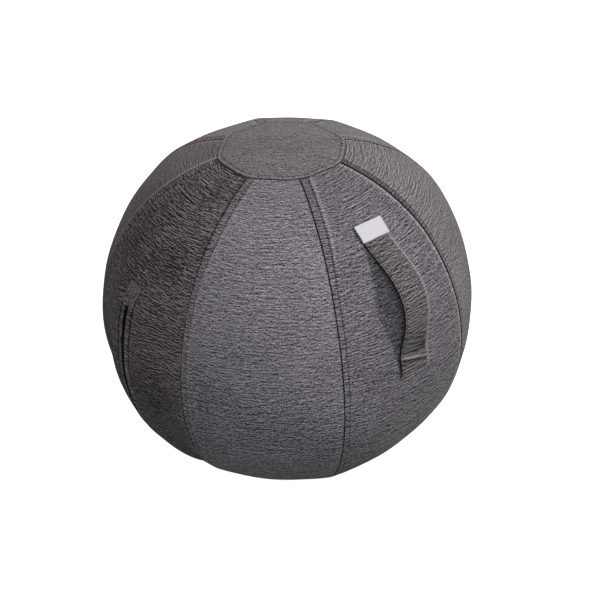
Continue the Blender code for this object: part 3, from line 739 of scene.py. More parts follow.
class Cover:
    """One gore's grid: turn and latitude of its points, sewn edges, cloth coordinates and the faces kept."""

    kept = None

    def __init__(self, gore):
        self.gore = gore
        seam_latitude = self.latitudes(np.full((1, 1), HALF_GORE))
        reach = profile_radius(seam_latitude) * np.cos(seam_latitude)
        low = -HALF_GORE + BAND_OFFSETS * band_scale(seam_latitude) / reach
        high = HALF_GORE - TUCKED_OFFSETS / reach
        self.turn = np.concatenate([low, self.middle_turns(low[:, -1:], high[:, :1]), high], axis=1)
        self.latitude = self.latitudes(self.turn)
        self.reach = cover_radius(self.turn, self.latitude) * np.cos(self.latitude)
        self.across = self.turn * self.reach
        self.from_low = (self.turn + HALF_GORE) * self.reach / band_scale(self.latitude)
        self.from_high = (HALF_GORE - self.turn) * self.reach
        self.from_top = (cap_edge(self.turn) - self.latitude) * BALL_RADIUS
        self.from_foot = (self.latitude - FOOT_EDGE) * BALL_RADIUS

    def latitudes(self, turn):
        """Rows hold fixed distances from the cap and from the foot, and share out what lies between."""
        shares = np.linspace(0.0, 1.0, GORE_ROWS + 1)[1:-1, None]
        top, foot = TOP_OFFSETS[:, None] / BALL_RADIUS, FOOT_EDGE + FOOT_OFFSETS[:, None] / BALL_RADIUS
        edge = np.broadcast_to(cap_edge(turn), (len(top) + len(shares) + len(foot), turn.shape[1]))
        start = edge[len(top):-len(foot)] - top[-1]
        middle = start + (foot[0] - start) * shares
        return np.concatenate([edge[:len(top)] - top, middle, foot + np.zeros(turn.shape[1])])

    def middle_turns(self, low, high):
        return low + (high - low) * np.linspace(0.0, 1.0, GORE_COLUMNS + 1)[1:-1]

    def sewn_depth(self):
        """How far the sewing draws the cloth in, with the painted shade of its folds and the painted
        highlights of its ridges.
        """
        band = fade(self.from_low, BAND_WIDTH, BAND_EDGE)
        depth = rounded_drop(self.from_low, FOLD_RADIUS, BAND_RISE + SEAM_DEPTH) - BAND_RISE * band
        depth = depth + fade(self.from_high, SEAM_SLOPE, SEAM_SLOPE, SEAM_DEPTH)
        depth = depth - bump(self.from_high, RIDGE_LINE, RIDGE_LINE, RIDGE_RISE)
        depth = depth - bump(self.from_low, BAND_WIDTH + RIDGE_LINE, RIDGE_LINE, RIDGE_RISE)
        depth = depth + groove(self.from_low, BAND_WIDTH)
        ends = np.minimum(self.from_top, self.from_foot)
        depth = np.maximum(depth, rounded_drop(ends, EDGE_WIDTH, EDGE_DEPTH))
        look = {**COMMON_SEAM, **GORE_SEAMS.get(self.gore, {})}
        high = smooth(self.latitude, *HIGH)
        line, strip = (share + more * high for share, more in (look["line"], look["strip"]))
        low_fold, high_fold = look["folds"]
        # Painted shade in both folds, at the cap and foot and along the stitched line; a painted highlight on
        # the ridge
        fold = np.maximum(bump(self.from_low, 0.0, low_fold), bump(self.from_high, 0.0, high_fold))
        fold = np.maximum(fold, bump(ends, *END_FOLD_SHADE))
        fold = np.maximum(fold, bump(self.from_low, BAND_WIDTH, LINE_WIDTH, line))
        fold = fold - bump(self.from_high, RIDGE_CREST, *look["ridge"])
        # Painted shade in the front gore's fold near the cap, and beside the handle gore's seam with the next
        # gore
        if self.gore == 1:
            near_cap = smooth(self.latitude, *FRONT_FOLD_HEIGHT)
            fold = np.maximum(fold, near_cap * bump(self.from_low, *FRONT_FOLD))
        if self.gore == 2:
            fold = fold + bump(self.latitude, *HANDLE_SHADE_HEIGHT) * bump(self.from_high, *HANDLE_SHADE)
        # A painted highlight on the strip beside the band; the band carries painted shade, or a painted
        # highlight below 0
        fold = fold - bump(self.from_low, BAND_WIDTH + RIDGE_CREST, STRIP_WIDTH, strip)
        share, more, above = look["band"]
        return depth, fold + band * (share + more * high + smooth(self.latitude, *UPPER, above))

    def soft_waves(self):
        """Small puckers along the stitching and slow unevenness in the stretched cloth."""
        along = self.latitude * BALL_RADIUS
        phase = GORE_PHASE * self.gore
        drift = PUCKER_SWING * np.sin(along * PUCKER_DRIFT + phase)
        puckers = PUCKER * np.sin(2.0 * pi * along / PUCKER_LENGTH + phase + drift)
        slow = smooth(np.minimum(self.from_low, self.from_high), UNEVEN_START, UNEVEN_REACH, UNEVENNESS)
        slow = slow * smooth(self.from_top, 0.0, UNEVEN_REACH)
        for by_along, by_across, by_phase in UNEVEN_WAVES:
            slow = slow * np.sin(along * by_along + self.across * by_across + phase * by_phase)
        return puckers * bump(self.from_low, BAND_WIDTH, PUCKER_REACH) + slow

    def place(self, depth):
        return cover_point(self.gore, self.turn, self.latitude, depth)

    def cloth(self):
        below = np.clip(STRETCH_START - self.latitude, 0.0, None)
        eased = np.where(below < STRETCH_FADE, below ** 2 / (2.0 * STRETCH_FADE), below - STRETCH_FADE / 2.0)
        return triple(self.across, -(self.latitude + STRETCH * eased) * BALL_RADIUS, self.gore * GORE_OFFSET)

    def build(self, name, material):
        depth, fold = self.sewn_depth()
        self.points = self.place(depth - self.soft_waves())
        self.normals = surface_normals(self.points)
        shape = Shape()
        shape.add(self.points, self.cloth(), fold, keep=self.kept)
        return shape.make(name, material)


# Zip gore: half of its section from the flat cloth to the slit, as offset from the middle and fold depth
LIP_FLAT = (0.034, 0.029, 0.025, 0.0222, 0.02, 0.0186, 0.0177, 0.0171, 0.0165, 0.016, 0.0154, 0.0145, 0.0125,
            0.0096, 0.0072, 0.0056)
LIP_FOLD = ((0.0045, 0.0001), (0.0038, 0.0004), (0.0032, 0.0009), (0.0028, 0.0015), (0.0026, 0.0022),
            (0.0026, 0.003), (0.0028, 0.0036))
LIP_OFFSETS, LIP_DEPTHS = np.array([(offset, 0.0) for offset in LIP_FLAT] + list(LIP_FOLD)).T
LIP_STITCH_COLUMN = 8
LIP_STITCH = LIP_FLAT[LIP_STITCH_COLUMN]
LIP_CREST = (0.0075, 0.0085, 0.0019)
LIP_END = 0.035
LIP_FADE = 0.02
LIP_CLOSING = 0.0018
GATHERED_COLUMNS = 9
ZIP_SIDE_COLUMNS = 10

# Its painted shade and highlights: dark in the slit, along the stitches, under the cap, low on the ball and a
# little high up, all painted shade; pale on the lips and beside the front gore, painted highlights
SLIT_EDGE = (0.0046, 0.001)
LIP_EDGE = (LIP_STITCH - 0.001, 0.001)
LIP_STITCH_SHADE = (LIP_STITCH, 0.0026, 0.95)
LIP_PALE = 0.75
SIDE_PALE = 0.16
SIDE_PALE_MORE = (radians(2.0), radians(25.0), 0.26)
SIDE_PALE_EDGE = (0.028, 0.024)
LOW_SHADE = (radians(17.0), radians(18.0), 0.38)
TOP_SHADE = (radians(20.0), radians(20.0), 0.07)
CAP_SHADE = (0.0, 0.006)


class ZipCover(Cover):
    """The gore that the zip divides: raised lips fold in at the slit and are topstitched beside it."""

    def __init__(self, gore):
        super().__init__(gore)
        over = np.maximum(self.latitude - ZIP_TOP, ZIP_BOTTOM - self.latitude) * BALL_RADIUS
        self.open = fade(over, 0.0, LIP_CLOSING)
        self.offset = np.abs(self.turn) * BALL_RADIUS
        self.first = len(BAND_OFFSETS) + ZIP_SIDE_COLUMNS - 1
        self.middle = self.first + len(LIP_OFFSETS)
        self.last = self.middle + len(LIP_OFFSETS)
        slit = self.open[:, self.first] > 0.0
        self.kept = np.ones(np.subtract(self.turn.shape, 1), bool)
        self.kept[slit[:-1] | slit[1:], self.middle - 1] = False

    def middle_turns(self, low, high):
        shares = np.linspace(0.0, 1.0, ZIP_SIDE_COLUMNS + 1)[1:-1]
        lips = LIP_OFFSETS / BALL_RADIUS
        left = low + (-lips[0] - low) * shares
        right = lips[0] + (high - lips[0]) * shares
        ones = np.ones_like(low)
        return np.concatenate([left, -ones * lips, ones * lips[::-1], right], axis=1)

    def place(self, depth):
        """Fold and raise the lips along the slit, and draw their columns together beyond its ends."""
        fold = np.zeros(self.turn.shape[1])
        fold[self.first:self.last] = np.concatenate([LIP_DEPTHS, LIP_DEPTHS[::-1]])
        start, end = self.middle - GATHERED_COLUMNS, self.middle + GATHERED_COLUMNS
        order = np.linspace(1.0, 0.0, GATHERED_COLUMNS)
        closed = np.array(self.turn)
        closed[:, start:end] = self.turn[:, [start]] * np.concatenate([order, -order[::-1]])
        turn = closed * (1.0 - self.open) + self.turn * self.open
        lip = bump(self.offset, *LIP_CREST) - groove(self.offset, LIP_STITCH)
        lip = lip * fade((self.latitude - ZIP_TOP - PATCH_ARC) * BALL_RADIUS, 0.0, LIP_FADE)
        lip = lip * smooth((self.latitude - ZIP_BOTTOM) * BALL_RADIUS, -LIP_FADE, LIP_FADE)
        raised = np.where(self.offset < LIP_END, lip, 0.0)
        return zip_cover_point(turn, self.latitude, depth + fold * self.open - raised)

    def sewn_depth(self):
        depth, fold = super().sewn_depth()
        # Painted shade in the slit and along the stitches; painted highlights on the lips and beside the
        # front gore
        inside = fade(self.offset, *SLIT_EDGE) * self.open
        stitched = bump(self.offset, *LIP_STITCH_SHADE) * (self.open > 0.0)
        lip = smooth(self.offset, *SLIT_EDGE) * fade(self.offset, *LIP_EDGE) * self.open
        pale = SIDE_PALE + smooth(self.latitude, *SIDE_PALE_MORE)
        fold = fold - LIP_PALE * lip - pale * fade(self.from_high, *SIDE_PALE_EDGE)
        fold = fold + fade(self.latitude, *LOW_SHADE) + smooth(self.latitude, *TOP_SHADE)
        fold = np.maximum(fold, bump(self.from_top, *CAP_SHADE))
        return depth, np.maximum(fold, np.maximum(inside, stitched))


def make_cover(materials):
    """The eight gores and the rows of stitches along their seams."""
    stitches = Shape()
    names = {1: "gore_1_zip", 2: "gore_2_front", 3: "gore_3_handle"}
    stitch_column = nearest(BAND_OFFSETS, BAND_STITCH)
    for gore in range(GORES):
        cover = ZipCover(gore) if gore == 0 else Cover(gore)
        node = names.get(gore + 1, "gore_%d" % (gore + 1))
        piece = cover.build("cover_" + node, materials["cover"][gore])
        finish_piece(piece, "cover_fabric", node)
        add_stitches(stitches, cover.points[:, stitch_column], cover.normals[:, stitch_column])
        declare_gore(cover)
        if gore == 0:
            rows = np.where(cover.open[:, cover.first] > 0.0)[0]
            for column in (cover.first + LIP_STITCH_COLUMN, cover.last - 1 - LIP_STITCH_COLUMN):
                add_stitches(stitches, cover.points[rows, column], cover.normals[rows, column])
    finish_piece(stitches.make("cover_seam_stitches", materials["thread"]), "cover_fabric")


def declare_gore(cover):
    """Work out the area of a gore, a flat cut stretched over the inflated ball; the area is not used."""
    widths = GORE_ANGLE * cover.reach[:, 0]
    lengths = cover.latitude[:, 0] * BALL_RADIUS
    area = float(np.sum((widths[:-1] + widths[1:]) / 2.0 * -np.diff(lengths)))


CAP_OFFSETS = np.array([0.0, 0.0002, 0.0005, 0.0009, 0.0015, 0.0022, 0.003, 0.0045, 0.006, 0.0067, 0.0072,
                        0.0077, 0.0082, 0.009, 0.0105])
CAP_COLUMNS = 20
CAP_RINGS = 18
CAP_POLE_GAP = 1e-4
CAP_STITCH_INNER = 0.0075
CAP_STITCH_OUTER = 0.0025
CAP_OUTER_GROOVE = 0.6
CAP_RIM = (0.012, 0.006, 0.0009)
CAP_EDGE_WIDTH = 0.0016
CAP_PUCKERS = 16.8
CAP_FOLD_SHADE = (0.0, 0.0008)
CAP_INNER_SHADE = (CAP_STITCH_INNER, 0.0013, 0.55)
CAP_OUTER_HIGHLIGHT = (CAP_STITCH_OUTER, 0.0017, 0.55)


def make_cap(materials):
    """The octagonal cap, laid over the gores' ends and sewn down with two rows of stitches."""
    columns = GORES * CAP_COLUMNS
    column = np.arange(columns)
    turn = (column % CAP_COLUMNS) * GORE_ANGLE / CAP_COLUMNS - HALF_GORE
    azimuth = (column // CAP_COLUMNS) * GORE_ANGLE + turn
    edge = cap_edge(turn)
    sewn = edge + CAP_OFFSETS[::-1, None] / BALL_RADIUS
    inner = POLE + (sewn[0] - POLE) * np.linspace(0.0, 1.0, CAP_RINGS + 1)[1:-1, None]
    latitude = np.concatenate([np.full((1, columns), POLE - CAP_POLE_GAP), inner, sewn])
    inward = (latitude - edge) * BALL_RADIUS
    depth = rounded_drop(inward, CAP_EDGE_WIDTH, EDGE_DEPTH) - fade(inward, *CAP_RIM)
    depth = depth + groove(inward, CAP_STITCH_INNER) + CAP_OUTER_GROOVE * groove(inward, CAP_STITCH_OUTER)
    depth = depth - np.sin(CAP_PUCKERS * azimuth) * bump(inward, CAP_STITCH_INNER, PUCKER_REACH, PUCKER)
    reach = cover_radius(turn, latitude) - depth
    points = CENTRE + direction(azimuth, latitude) * reach[..., None]
    # Painted shade in the fold at the cap's edge and along the inner stitches, a painted highlight along the
    # outer stitches
    fold = np.maximum(bump(inward, *CAP_FOLD_SHADE), bump(inward, *CAP_INNER_SHADE)) - bump(inward, *CAP_OUTER_HIGHLIGHT)
    x, y = points[..., 0], points[..., 1]
    across = x * cos(GORE_ANGLE) + y * sin(GORE_ANGLE)
    cloth = triple(across, x * sin(GORE_ANGLE) - y * cos(GORE_ANGLE), GORES * GORE_OFFSET)
    shape = Shape()
    shape.add(points, cloth, fold, wrap_columns=True)
    piece = finish_piece(shape.make("cover_cap", materials["cap"]), "cover_fabric", "top_cap")
    rings = [nearest(inward[:, 0], line) for line in (CAP_STITCH_INNER, CAP_STITCH_OUTER)]
    sew_rings("cover_cap_stitches", materials["thread"], "cover_fabric", points, rings)


FOOT_BEND_ROWS = 28
FOOT_CROWDING = 1.3
FOOT_FLAT_ROWS = 16
FOOT_COLUMNS = 192
FOOT_STITCH = 0.006
FOOT_ROLL = 0.002
FOOT_ROLL_DEPTH = 0.0016
FOOT_PUCKERS = 62.0
FOOT_PUCKER = (FOOT_STITCH, 0.008, PUCKER)
FOOT_FOLD_SHADE = (0.0, 0.0012)


def make_foot(materials):
    """The coated bottom panel: it rolls in under the gores and stands flat on the floor."""
    rim_reach = float(profile_radius(FOOT_EDGE))
    rim = np.array([rim_reach * cos(FOOT_EDGE), CENTRE[2] + rim_reach * sin(FOOT_EDGE)])
    toe = rim[0] - rim[1] / tan(POLE + FOOT_EDGE)
    knee = np.array([max((rim[0] + FOOT_RADIUS) / 2.0, min(toe, rim[0])), 0.0])
    end = np.array([FOOT_RADIUS, 0.0])
    share = np.linspace(0.0, 1.0, FOOT_BEND_ROWS)[:, None] ** FOOT_CROWDING
    bend = rim * (1.0 - share) ** 2 + 2.0 * knee * share * (1.0 - share) + end * share ** 2
    profile = np.concatenate([bend, end * np.linspace(1.0, 0.0, FOOT_FLAT_ROWS)[1:, None]])
    azimuth = circle(FOOT_COLUMNS)
    travelled = distances(profile)[:, None]
    drawn = rounded_drop(travelled, FOOT_ROLL, FOOT_ROLL_DEPTH) + groove(travelled, FOOT_STITCH)
    waves = np.sin(azimuth * FOOT_PUCKERS) * bump(travelled, *FOOT_PUCKER)
    radius = np.maximum(profile[:, :1] - drawn, 0.0) + waves
    points = triple(radius * np.sin(azimuth), -radius * np.cos(azimuth), profile[:, 1:])
    shape = Shape()
    # Painted shade where the panel rolls in under the gores
    shape.add(points, points, bump(travelled, *FOOT_FOLD_SHADE), wrap_columns=True)
    piece = finish_piece(shape.make("cover_foot", materials["foot"]), "foot_fabric", "bottom_panel")
    ring = nearest(travelled[:, 0], FOOT_STITCH)
    sew_rings("cover_foot_stitches", materials["dark_thread"], "foot_fabric", points, [ring])


# Handle: a flat folded strap, described by its section and by rows along its length
STRAP_HALF = STRAP_WIDTH / 2.0
STRAP_FACE = np.array([0.0, 0.35, 0.62, 0.76, 0.815, 0.832, 0.85, 0.87, 0.91, 0.94]) * STRAP_HALF
STRAP_EDGE = 0.0014
STRAP_EDGE_POINTS = 9
STRAP_STITCH = STRAP_HALF - 0.0042
STRAP_END_STITCH = radians(6.9)
STRAP_STEP = 0.0016
STRAP_CROWN = (0.6 * STRAP_HALF, 0.5 * STRAP_HALF, 0.00028)
STRAP_END_ROUND = (0.0017, 0.8)
STRAP_FLARE = (radians(22.0), radians(8.0), 0.15)
STRAP_OFFSET = 41.0

# Its creases above the lower end, the sewn line across it and the shades of its edges: painted shade in the
# creases, along the stitches, under the sewn line and as the shadow under its left edge, painted highlights
# on the sewn line and its right edge
STRAP_CREASES = [radians(angle) for angle in (18.8, 17.3, 15.7, 14.4, 13.2)]
STRAP_CREASE_DEPTH = 0.0013
STRAP_CREASE_WIDTH = 0.0015
STRAP_CREASE_SHADE = 0.85
STRAP_CREASE_SKEW = 0.12
STRAP_CREASE_TURN = 0.06
STRAP_CREASE_LEAST = 0.45
STRAP_CREASE_MORE = (-0.6 * STRAP_HALF, STRAP_HALF, 1.0 - STRAP_CREASE_LEAST)
STRAP_TILT = 0.36
STRAP_SEWN = radians(11.2)
STRAP_SEWN_HIGHLIGHT = (0.0, 0.003, 1.6)
STRAP_SEWN_SHADE = (0.0044, 0.0022)
STRAP_STITCH_SHADE = (STRAP_STITCH, 0.001, 0.3)
STRAP_RIGHT_HIGHLIGHT = (STRAP_HALF - 0.0048, 0.0012, 1.5)
STRAP_LEFT_SHADE = (STRAP_HALF - 0.0016, 0.0008, 0.9)
STRAP_LEFT_START = (radians(7.2), radians(1.0))


def strap_rise(latitude):
    """How far the strap's inner face stands off the gore: bowed between its sewn ends."""
    share = np.clip((LOOP_TOP - latitude) / (LOOP_TOP - LOOP_BOTTOM), 0.0, 1.0)
    return FIT_GAP + LOOP_RISE * np.sin(pi * share) ** LOOP_FULLNESS


def grip_limits():
    """Latitudes of the bow's two ends, where it clears the gore by the grip's rise."""
    share = asin((GRIP_RISE / LOOP_RISE) ** (1.0 / LOOP_FULLNESS)) / pi
    reach = LOOP_TOP - LOOP_BOTTOM
    return LOOP_TOP - share * reach, LOOP_BOTTOM + share * reach


def strap_core(latitude, lift=0.0):
    """A point on the strap's middle line, lift above its inner face."""
    latitude = np.asarray(latitude, float)
    radius = cover_radius(0.0, latitude) + strap_rise(latitude) + lift
    return CENTRE + direction(HANDLE_AZIMUTH, latitude) * radius[..., None]


def strap_normal(latitude):
    """Square to the sway axis along the bow, and square to the gore where the strap is sewn."""
    end, start = (strap_core(limit, STRAP / 2.0) for limit in grip_limits())
    along = unit(end - start)
    bow = np.array([along[2], 0.0, -along[0]])
    share = np.minimum((strap_rise(latitude) - FIT_GAP) / GRIP_RISE, 1.0)[..., None]
    return unit(direction(HANDLE_AZIMUTH, latitude) * (1.0 - share) + bow * share)


def strap_place(across, latitude, lift):
    """Points of the strap; latitude belongs to rows."""
    middle, normal = strap_core(latitude)[:, None], strap_normal(latitude)[:, None]
    return middle + normal * lift[..., None] + triple(0.0, across, 0.0)


def strap_section():
    """The strap's outline as offset across and lift: outer face, rounded edges and inner face."""
    face = np.concatenate([-STRAP_FACE[:0:-1], STRAP_FACE])
    angle = np.linspace(pi / 2.0, -pi / 2.0, STRAP_EDGE_POINTS)[1:-1]
    edge_across = STRAP_HALF - STRAP_EDGE + STRAP_EDGE * np.cos(angle)
    edge_lift = STRAP / 2.0 + STRAP / 2.0 * np.sin(angle)
    across = np.concatenate([face, edge_across, face[::-1], -edge_across])
    outer = STRAP - groove(np.abs(face), STRAP_STITCH) - bump(np.abs(face), *STRAP_CROWN)
    lift = np.concatenate([outer, edge_lift, np.zeros_like(face), edge_lift[::-1]])
    return across, lift, len(face)


def strap_rows():
    """Rows along the whole strap, with one on each end of the bow."""
    rows = [STRAP_TOP]
    for end in (LOOP_TOP, *grip_limits(), LOOP_BOTTOM, STRAP_BOTTOM):
        span = rows[-1] - end
        steps = max(2, round(span * BALL_RADIUS / STRAP_STEP))
        rows += list(rows[-1] - span * np.arange(1, steps + 1) / steps)
    return np.array(rows)


def strap_grid():
    """All points of the strap, with shallow creases near its lower end and rounded sewn ends, and its painted
    shade and highlights.
    """
    rows = strap_rows()
    across, lift, face = strap_section()
    lift = np.tile(lift, (len(rows), 1))
    latitude = rows[:, None]
    # Painted shade along the stitches and as the shadow under the left edge, a painted highlight along the
    # right edge
    shade = bump(np.abs(across), *STRAP_STITCH_SHADE) * (np.arange(len(across)) < face)
    shade = shade - smooth(across, *STRAP_RIGHT_HIGHLIGHT)
    shade = shade + smooth(-across, *STRAP_LEFT_SHADE) * smooth(latitude, *STRAP_LEFT_START)
    front = across[:face]
    tilted = latitude * BALL_RADIUS + STRAP_TILT * front
    # Each crease dents the strap and carries painted shade
    for index, crease in enumerate(STRAP_CREASES):
        skew = (STRAP_CREASE_SKEW - STRAP_CREASE_TURN * index) * front
        deep = dent(tilted + skew, crease * BALL_RADIUS, STRAP_CREASE_WIDTH)
        deep = deep * (STRAP_CREASE_LEAST + smooth(front, *STRAP_CREASE_MORE))
        lift[:, :face] -= STRAP_CREASE_DEPTH * deep
        shade[:, :face] += STRAP_CREASE_SHADE * deep
    # Painted shade under the sewn line and a painted highlight on it
    below_seam = STRAP_SEWN * BALL_RADIUS - tilted
    shade[:, :face] += bump(below_seam, *STRAP_SEWN_SHADE) - bump(below_seam, *STRAP_SEWN_HIGHLIGHT)
    end = np.minimum(STRAP_TOP - latitude, latitude - STRAP_BOTTOM) * BALL_RADIUS
    lift = STRAP / 2.0 + (lift - STRAP / 2.0) * (1.0 - rounded_drop(end, *STRAP_END_ROUND))
    points = strap_place(across * (1.0 + fade(latitude, *STRAP_FLARE)), rows, lift)
    along = distances(strap_core(rows))[:, None]
    return rows, points, triple(across + lift, along, STRAP_OFFSET), shade, face


def make_handle(materials):
    """The strap in three stretches: the grip rides on the handle, and its two ends stay where they are built.
    """
    rows, points, cloth, shade, face = strap_grid()
    normals = surface_normals(points[:, :face])
    upper, lower = grip_limits()
    left, right = (nearest(points[0, :face, 1], line) for line in (-STRAP_STITCH, STRAP_STITCH))
    cuts = [0, nearest(rows, upper), nearest(rows, lower), len(rows) - 1]
    bends = {"upper_end": (LOOP_TOP, upper), "grip": None, "lower_end": (LOOP_BOTTOM, lower)}
    for (name, bend), first, last in zip(bends.items(), cuts[:-1], cuts[1:]):
        part = slice(first, last + 1)
        shape = Shape()
        shape.add(points[part], cloth[part], shade[part], wrap_columns=True)
        lines = [(part, left), (part, right)]
        if name == "lower_end":
            lines.append((nearest(rows, STRAP_END_STITCH), slice(left, right + 1)))
        for line in lines:
            add_stitches(shape, points[line], normals[line], slot=1)
        piece = shape.make("strap_" + name, materials["strap"], materials["thread"])
        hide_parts("handle_" + name)
        if bend is None:
            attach(piece, "handle")
        else:
            strap_core(bend[0])
            strap_core(bend[1])
            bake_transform(piece)


def rectangle(half_width, half_length, edge, columns, rows):
    """Grid of a small piece of cloth: offsets across and along, and the distance from its nearest edge."""
    def spaced(half, number):
        inner = np.linspace(-1.0, 1.0, number)[1:-1] * (half - edge[-1])
        return np.concatenate([edge - half, inner, half - edge[::-1]])

    across, along = np.meshgrid(spaced(half_width, columns), -spaced(half_length, rows))
    return across, along, np.minimum(half_width - np.abs(across), half_length - np.abs(along))


def sew_around(shape, points, row):
    """Stitches on all four sides of a small piece of cloth, this many rows in from its edge."""
    normals = surface_normals(points)
    inner = slice(row, -row)
    for line in ((row, inner), (inner, -row - 1), (-row - 1, inner), (inner, row)):
        add_stitches(shape, points[line], normals[line], slot=1)


LABEL_STEPS = np.array([0.0, 0.00012, 0.0003, 0.0006, 0.001, 0.0016, 0.0022, 0.003])
LABEL_ROUND = 0.0007
LABEL_DENT = 0.00025
LABEL_DENT_WIDTH = 0.0006
LABEL_WAVES = 120.0
LABEL_PHASE = 0.6
LABEL_WAVE = (0.0, 0.008, 0.0003)
PATCH_STEPS = np.array([0.0, 0.00015, 0.0004, 0.0008, 0.0013, 0.002, 0.0027, 0.0033, 0.0042])
PATCH_ROUND = 0.0013
PATCH_GROOVE = 0.7
PATCH_FOLD_SHADE = (0.0, 0.0006, 0.8)
PATCH_OFFSET = 53.0
SEWN_STEP = 6
LABEL_GRID = (13, 9)
PATCH_GRID = (11, 11)


def make_label(materials):
    """The blank woven label sewn across the strap's upper end."""
    middle = (STRAP_TOP + LOOP_TOP) / 2.0
    half_length = LABEL_LENGTH / 2.0 * BALL_RADIUS / float(cover_radius(0.0, middle))
    across, along, inset = rectangle(LABEL_WIDTH / 2.0, half_length, LABEL_STEPS, *LABEL_GRID)
    lift = STRAP + FIT_GAP + LABEL - rounded_drop(inset, LABEL_ROUND, LABEL + FIT_GAP)
    lift = lift - LABEL_DENT * dent(inset, LABEL_STEPS[SEWN_STEP], LABEL_DENT_WIDTH)
    lift = lift + np.sin(across * LABEL_WAVES + LABEL_PHASE) * smooth(inset, *LABEL_WAVE)
    points = strap_place(across, middle + along[:, 0] / BALL_RADIUS, lift)
    shape = Shape()
    shape.add(points, triple(across, -along, 0.0))
    sew_around(shape, points, SEWN_STEP)
    piece = shape.make("strap_label", materials["label"], materials["label_thread"])
    finish_piece(piece, "label_fabric", "handle_label")


def make_patch(materials):
    """The reinforcing patch over the zip's upper end."""
    long_half = PATCH_ARC * BALL_RADIUS / 2.0
    across, along, inset = rectangle(PATCH_HALF, long_half, PATCH_STEPS, *PATCH_GRID)
    latitude = ZIP_TOP + PATCH_ARC / 2.0 + along / BALL_RADIUS
    lift = FIT_GAP + PATCH - rounded_drop(inset, PATCH_ROUND, PATCH + FIT_GAP)
    lift = lift - PATCH_GROOVE * groove(inset, PATCH_STEPS[SEWN_STEP])
    points = zip_cover_point(np.zeros_like(across), latitude, -lift) + triple(across, 0.0, 0.0)
    shape = Shape()
    # Painted shade in the fold along the patch's edge
    shape.add(points, triple(-along, across, PATCH_OFFSET), bump(inset, *PATCH_FOLD_SHADE))
    sew_around(shape, points, SEWN_STEP)
    piece = shape.make("zip_patch", materials["patch"], materials["thread"])
    finish_piece(piece, "cover_fabric", "zip_end_patch")


ZIP_ROWS = 120
TAPE_STEPS = TAPE_STEP_START + TAPE_STEP * np.array([0.0, 0.35, 0.65, 1.0])
TAPE_ACROSS = np.array([COIL_INNER, 0.0025, 0.004, *TAPE_STEPS, 0.0115, TAPE_OUTER])
COIL_PITCH = 0.0017
COIL_WIRE = 0.00026
COIL_SLANT = 0.3
COIL_SIDES = 12
WIRE_SIDES = 6


def make_zip_rows(materials):
    """Woven tapes with a row of nylon coil on each inner edge."""
    latitude = np.linspace(ZIP_TOP, ZIP_BOTTOM, ZIP_ROWS)[:, None]
    rise = LIP_INNER - FIT_GAP - TAPE - TAPE_LOW
    low = TAPE_LOW + smooth(TAPE_ACROSS, TAPE_STEP_START, TAPE_STEP, rise)
    inset = STOP_ARC + STOP_CLEARANCE
    span = ZIP_TOP - ZIP_BOTTOM - 2.0 * inset
    number = int(span * COIL_HIGH / COIL_PITCH)
    turns = ZIP_TOP - inset - (np.arange(number) + 0.5) * span / number
    around, wire = circle(COIL_SIDES)[:, None], circle(WIRE_SIDES)
    half_across = (COIL_OUTER - COIL_INNER) / 2.0 - COIL_WIRE
    half_high = COIL / 2.0 - COIL_WIRE
    tangent = unit(np.concatenate([-half_across * np.sin(around), half_high * np.cos(around)], axis=1))
    loop_across = half_across * np.cos(around) + COIL_WIRE * tangent[:, 1:] * np.cos(wire)
    loop_high = half_high * np.sin(around) - COIL_WIRE * tangent[:, :1] * np.cos(wire)
    loop_turn = (COIL_WIRE * np.sin(wire) + COIL_SLANT * COIL_PITCH * np.sin(around)) / COIL_HIGH
    for name, side in (("left", -1.0), ("right", 1.0)):
        order = slice(None, None, int(side))
        beside = side * TAPE_ACROSS[order]
        tape = Shape()
        for level in (low + TAPE, low):
            points = zip_point(beside, latitude, level[order])
            tape.add(points, triple(beside, -latitude * BALL_RADIUS, 0.0))
        piece = tape.make("zip_tape_weave_" + name, materials["tape"])
        finish_piece(piece, "zip_tape", "zip_tape_" + name)
        (ZIP_TOP - ZIP_BOTTOM) * TAPE_HIGH
        across = side * ((COIL_INNER + COIL_OUTER) / 2.0 + loop_across)
        points = zip_point(across, turns[:, None, None] + loop_turn, (COIL_LOW + COIL_HIGH) / 2.0 + loop_high)
        coil = Shape()
        coil.add(points, wrap_rows=True, wrap_columns=True)
        finish_piece(coil.make("zip_coil_teeth_" + name, materials["nylon"]), "zip_nylon", "zip_coil_" + name)


BAR_SQUARENESS = 0.6
BAR_SIDES = 10
SHARP_ANGLE = radians(40.0)
RIM_SEGMENTS = 2
RIM_PROFILE = 0.6


def extruded(outline, low, high, edge):
    """A plate with this outline and bevelled rims, as a bmesh in plate coordinates."""
    made = bmesh.new()
    face = made.faces.new([made.verts.new((x, y, low)) for x, y in outline])
    lifted = bmesh.ops.extrude_face_region(made, geom=[face])
    top = [item for item in lifted["geom"] if isinstance(item, bmesh.types.BMVert)]
    bmesh.ops.translate(made, verts=top, vec=(0.0, 0.0, high - low))
    bmesh.ops.recalc_face_normals(made, faces=made.faces)
    rims = [each for each in made.edges if abs(each.verts[0].co.z - each.verts[1].co.z) < LEVEL]
    bmesh.ops.bevel(made, geom=rims, offset=edge, segments=RIM_SEGMENTS, affect="EDGES", profile=RIM_PROFILE)
    return made


def swept(path, across_half, thick_half):
    """A rounded bar that follows a path in the plane of x = 0, as points of a grid."""
    path = np.array(path)
    forward = unit(np.gradient(path, axis=0))

    def flattened(wave):
        return np.sign(wave) * np.abs(wave) ** BAR_SQUARENESS

    round_x = flattened(np.cos(circle(BAR_SIDES))) * across_half
    round_n = flattened(np.sin(circle(BAR_SIDES))) * thick_half
    outward = triple(0.0, -forward[:, 1:], forward[:, :1])
    return triple(0.0, path[:, :1], path[:, 1:]) + triple(round_x, 0.0, 0.0) + outward * round_n[:, None]


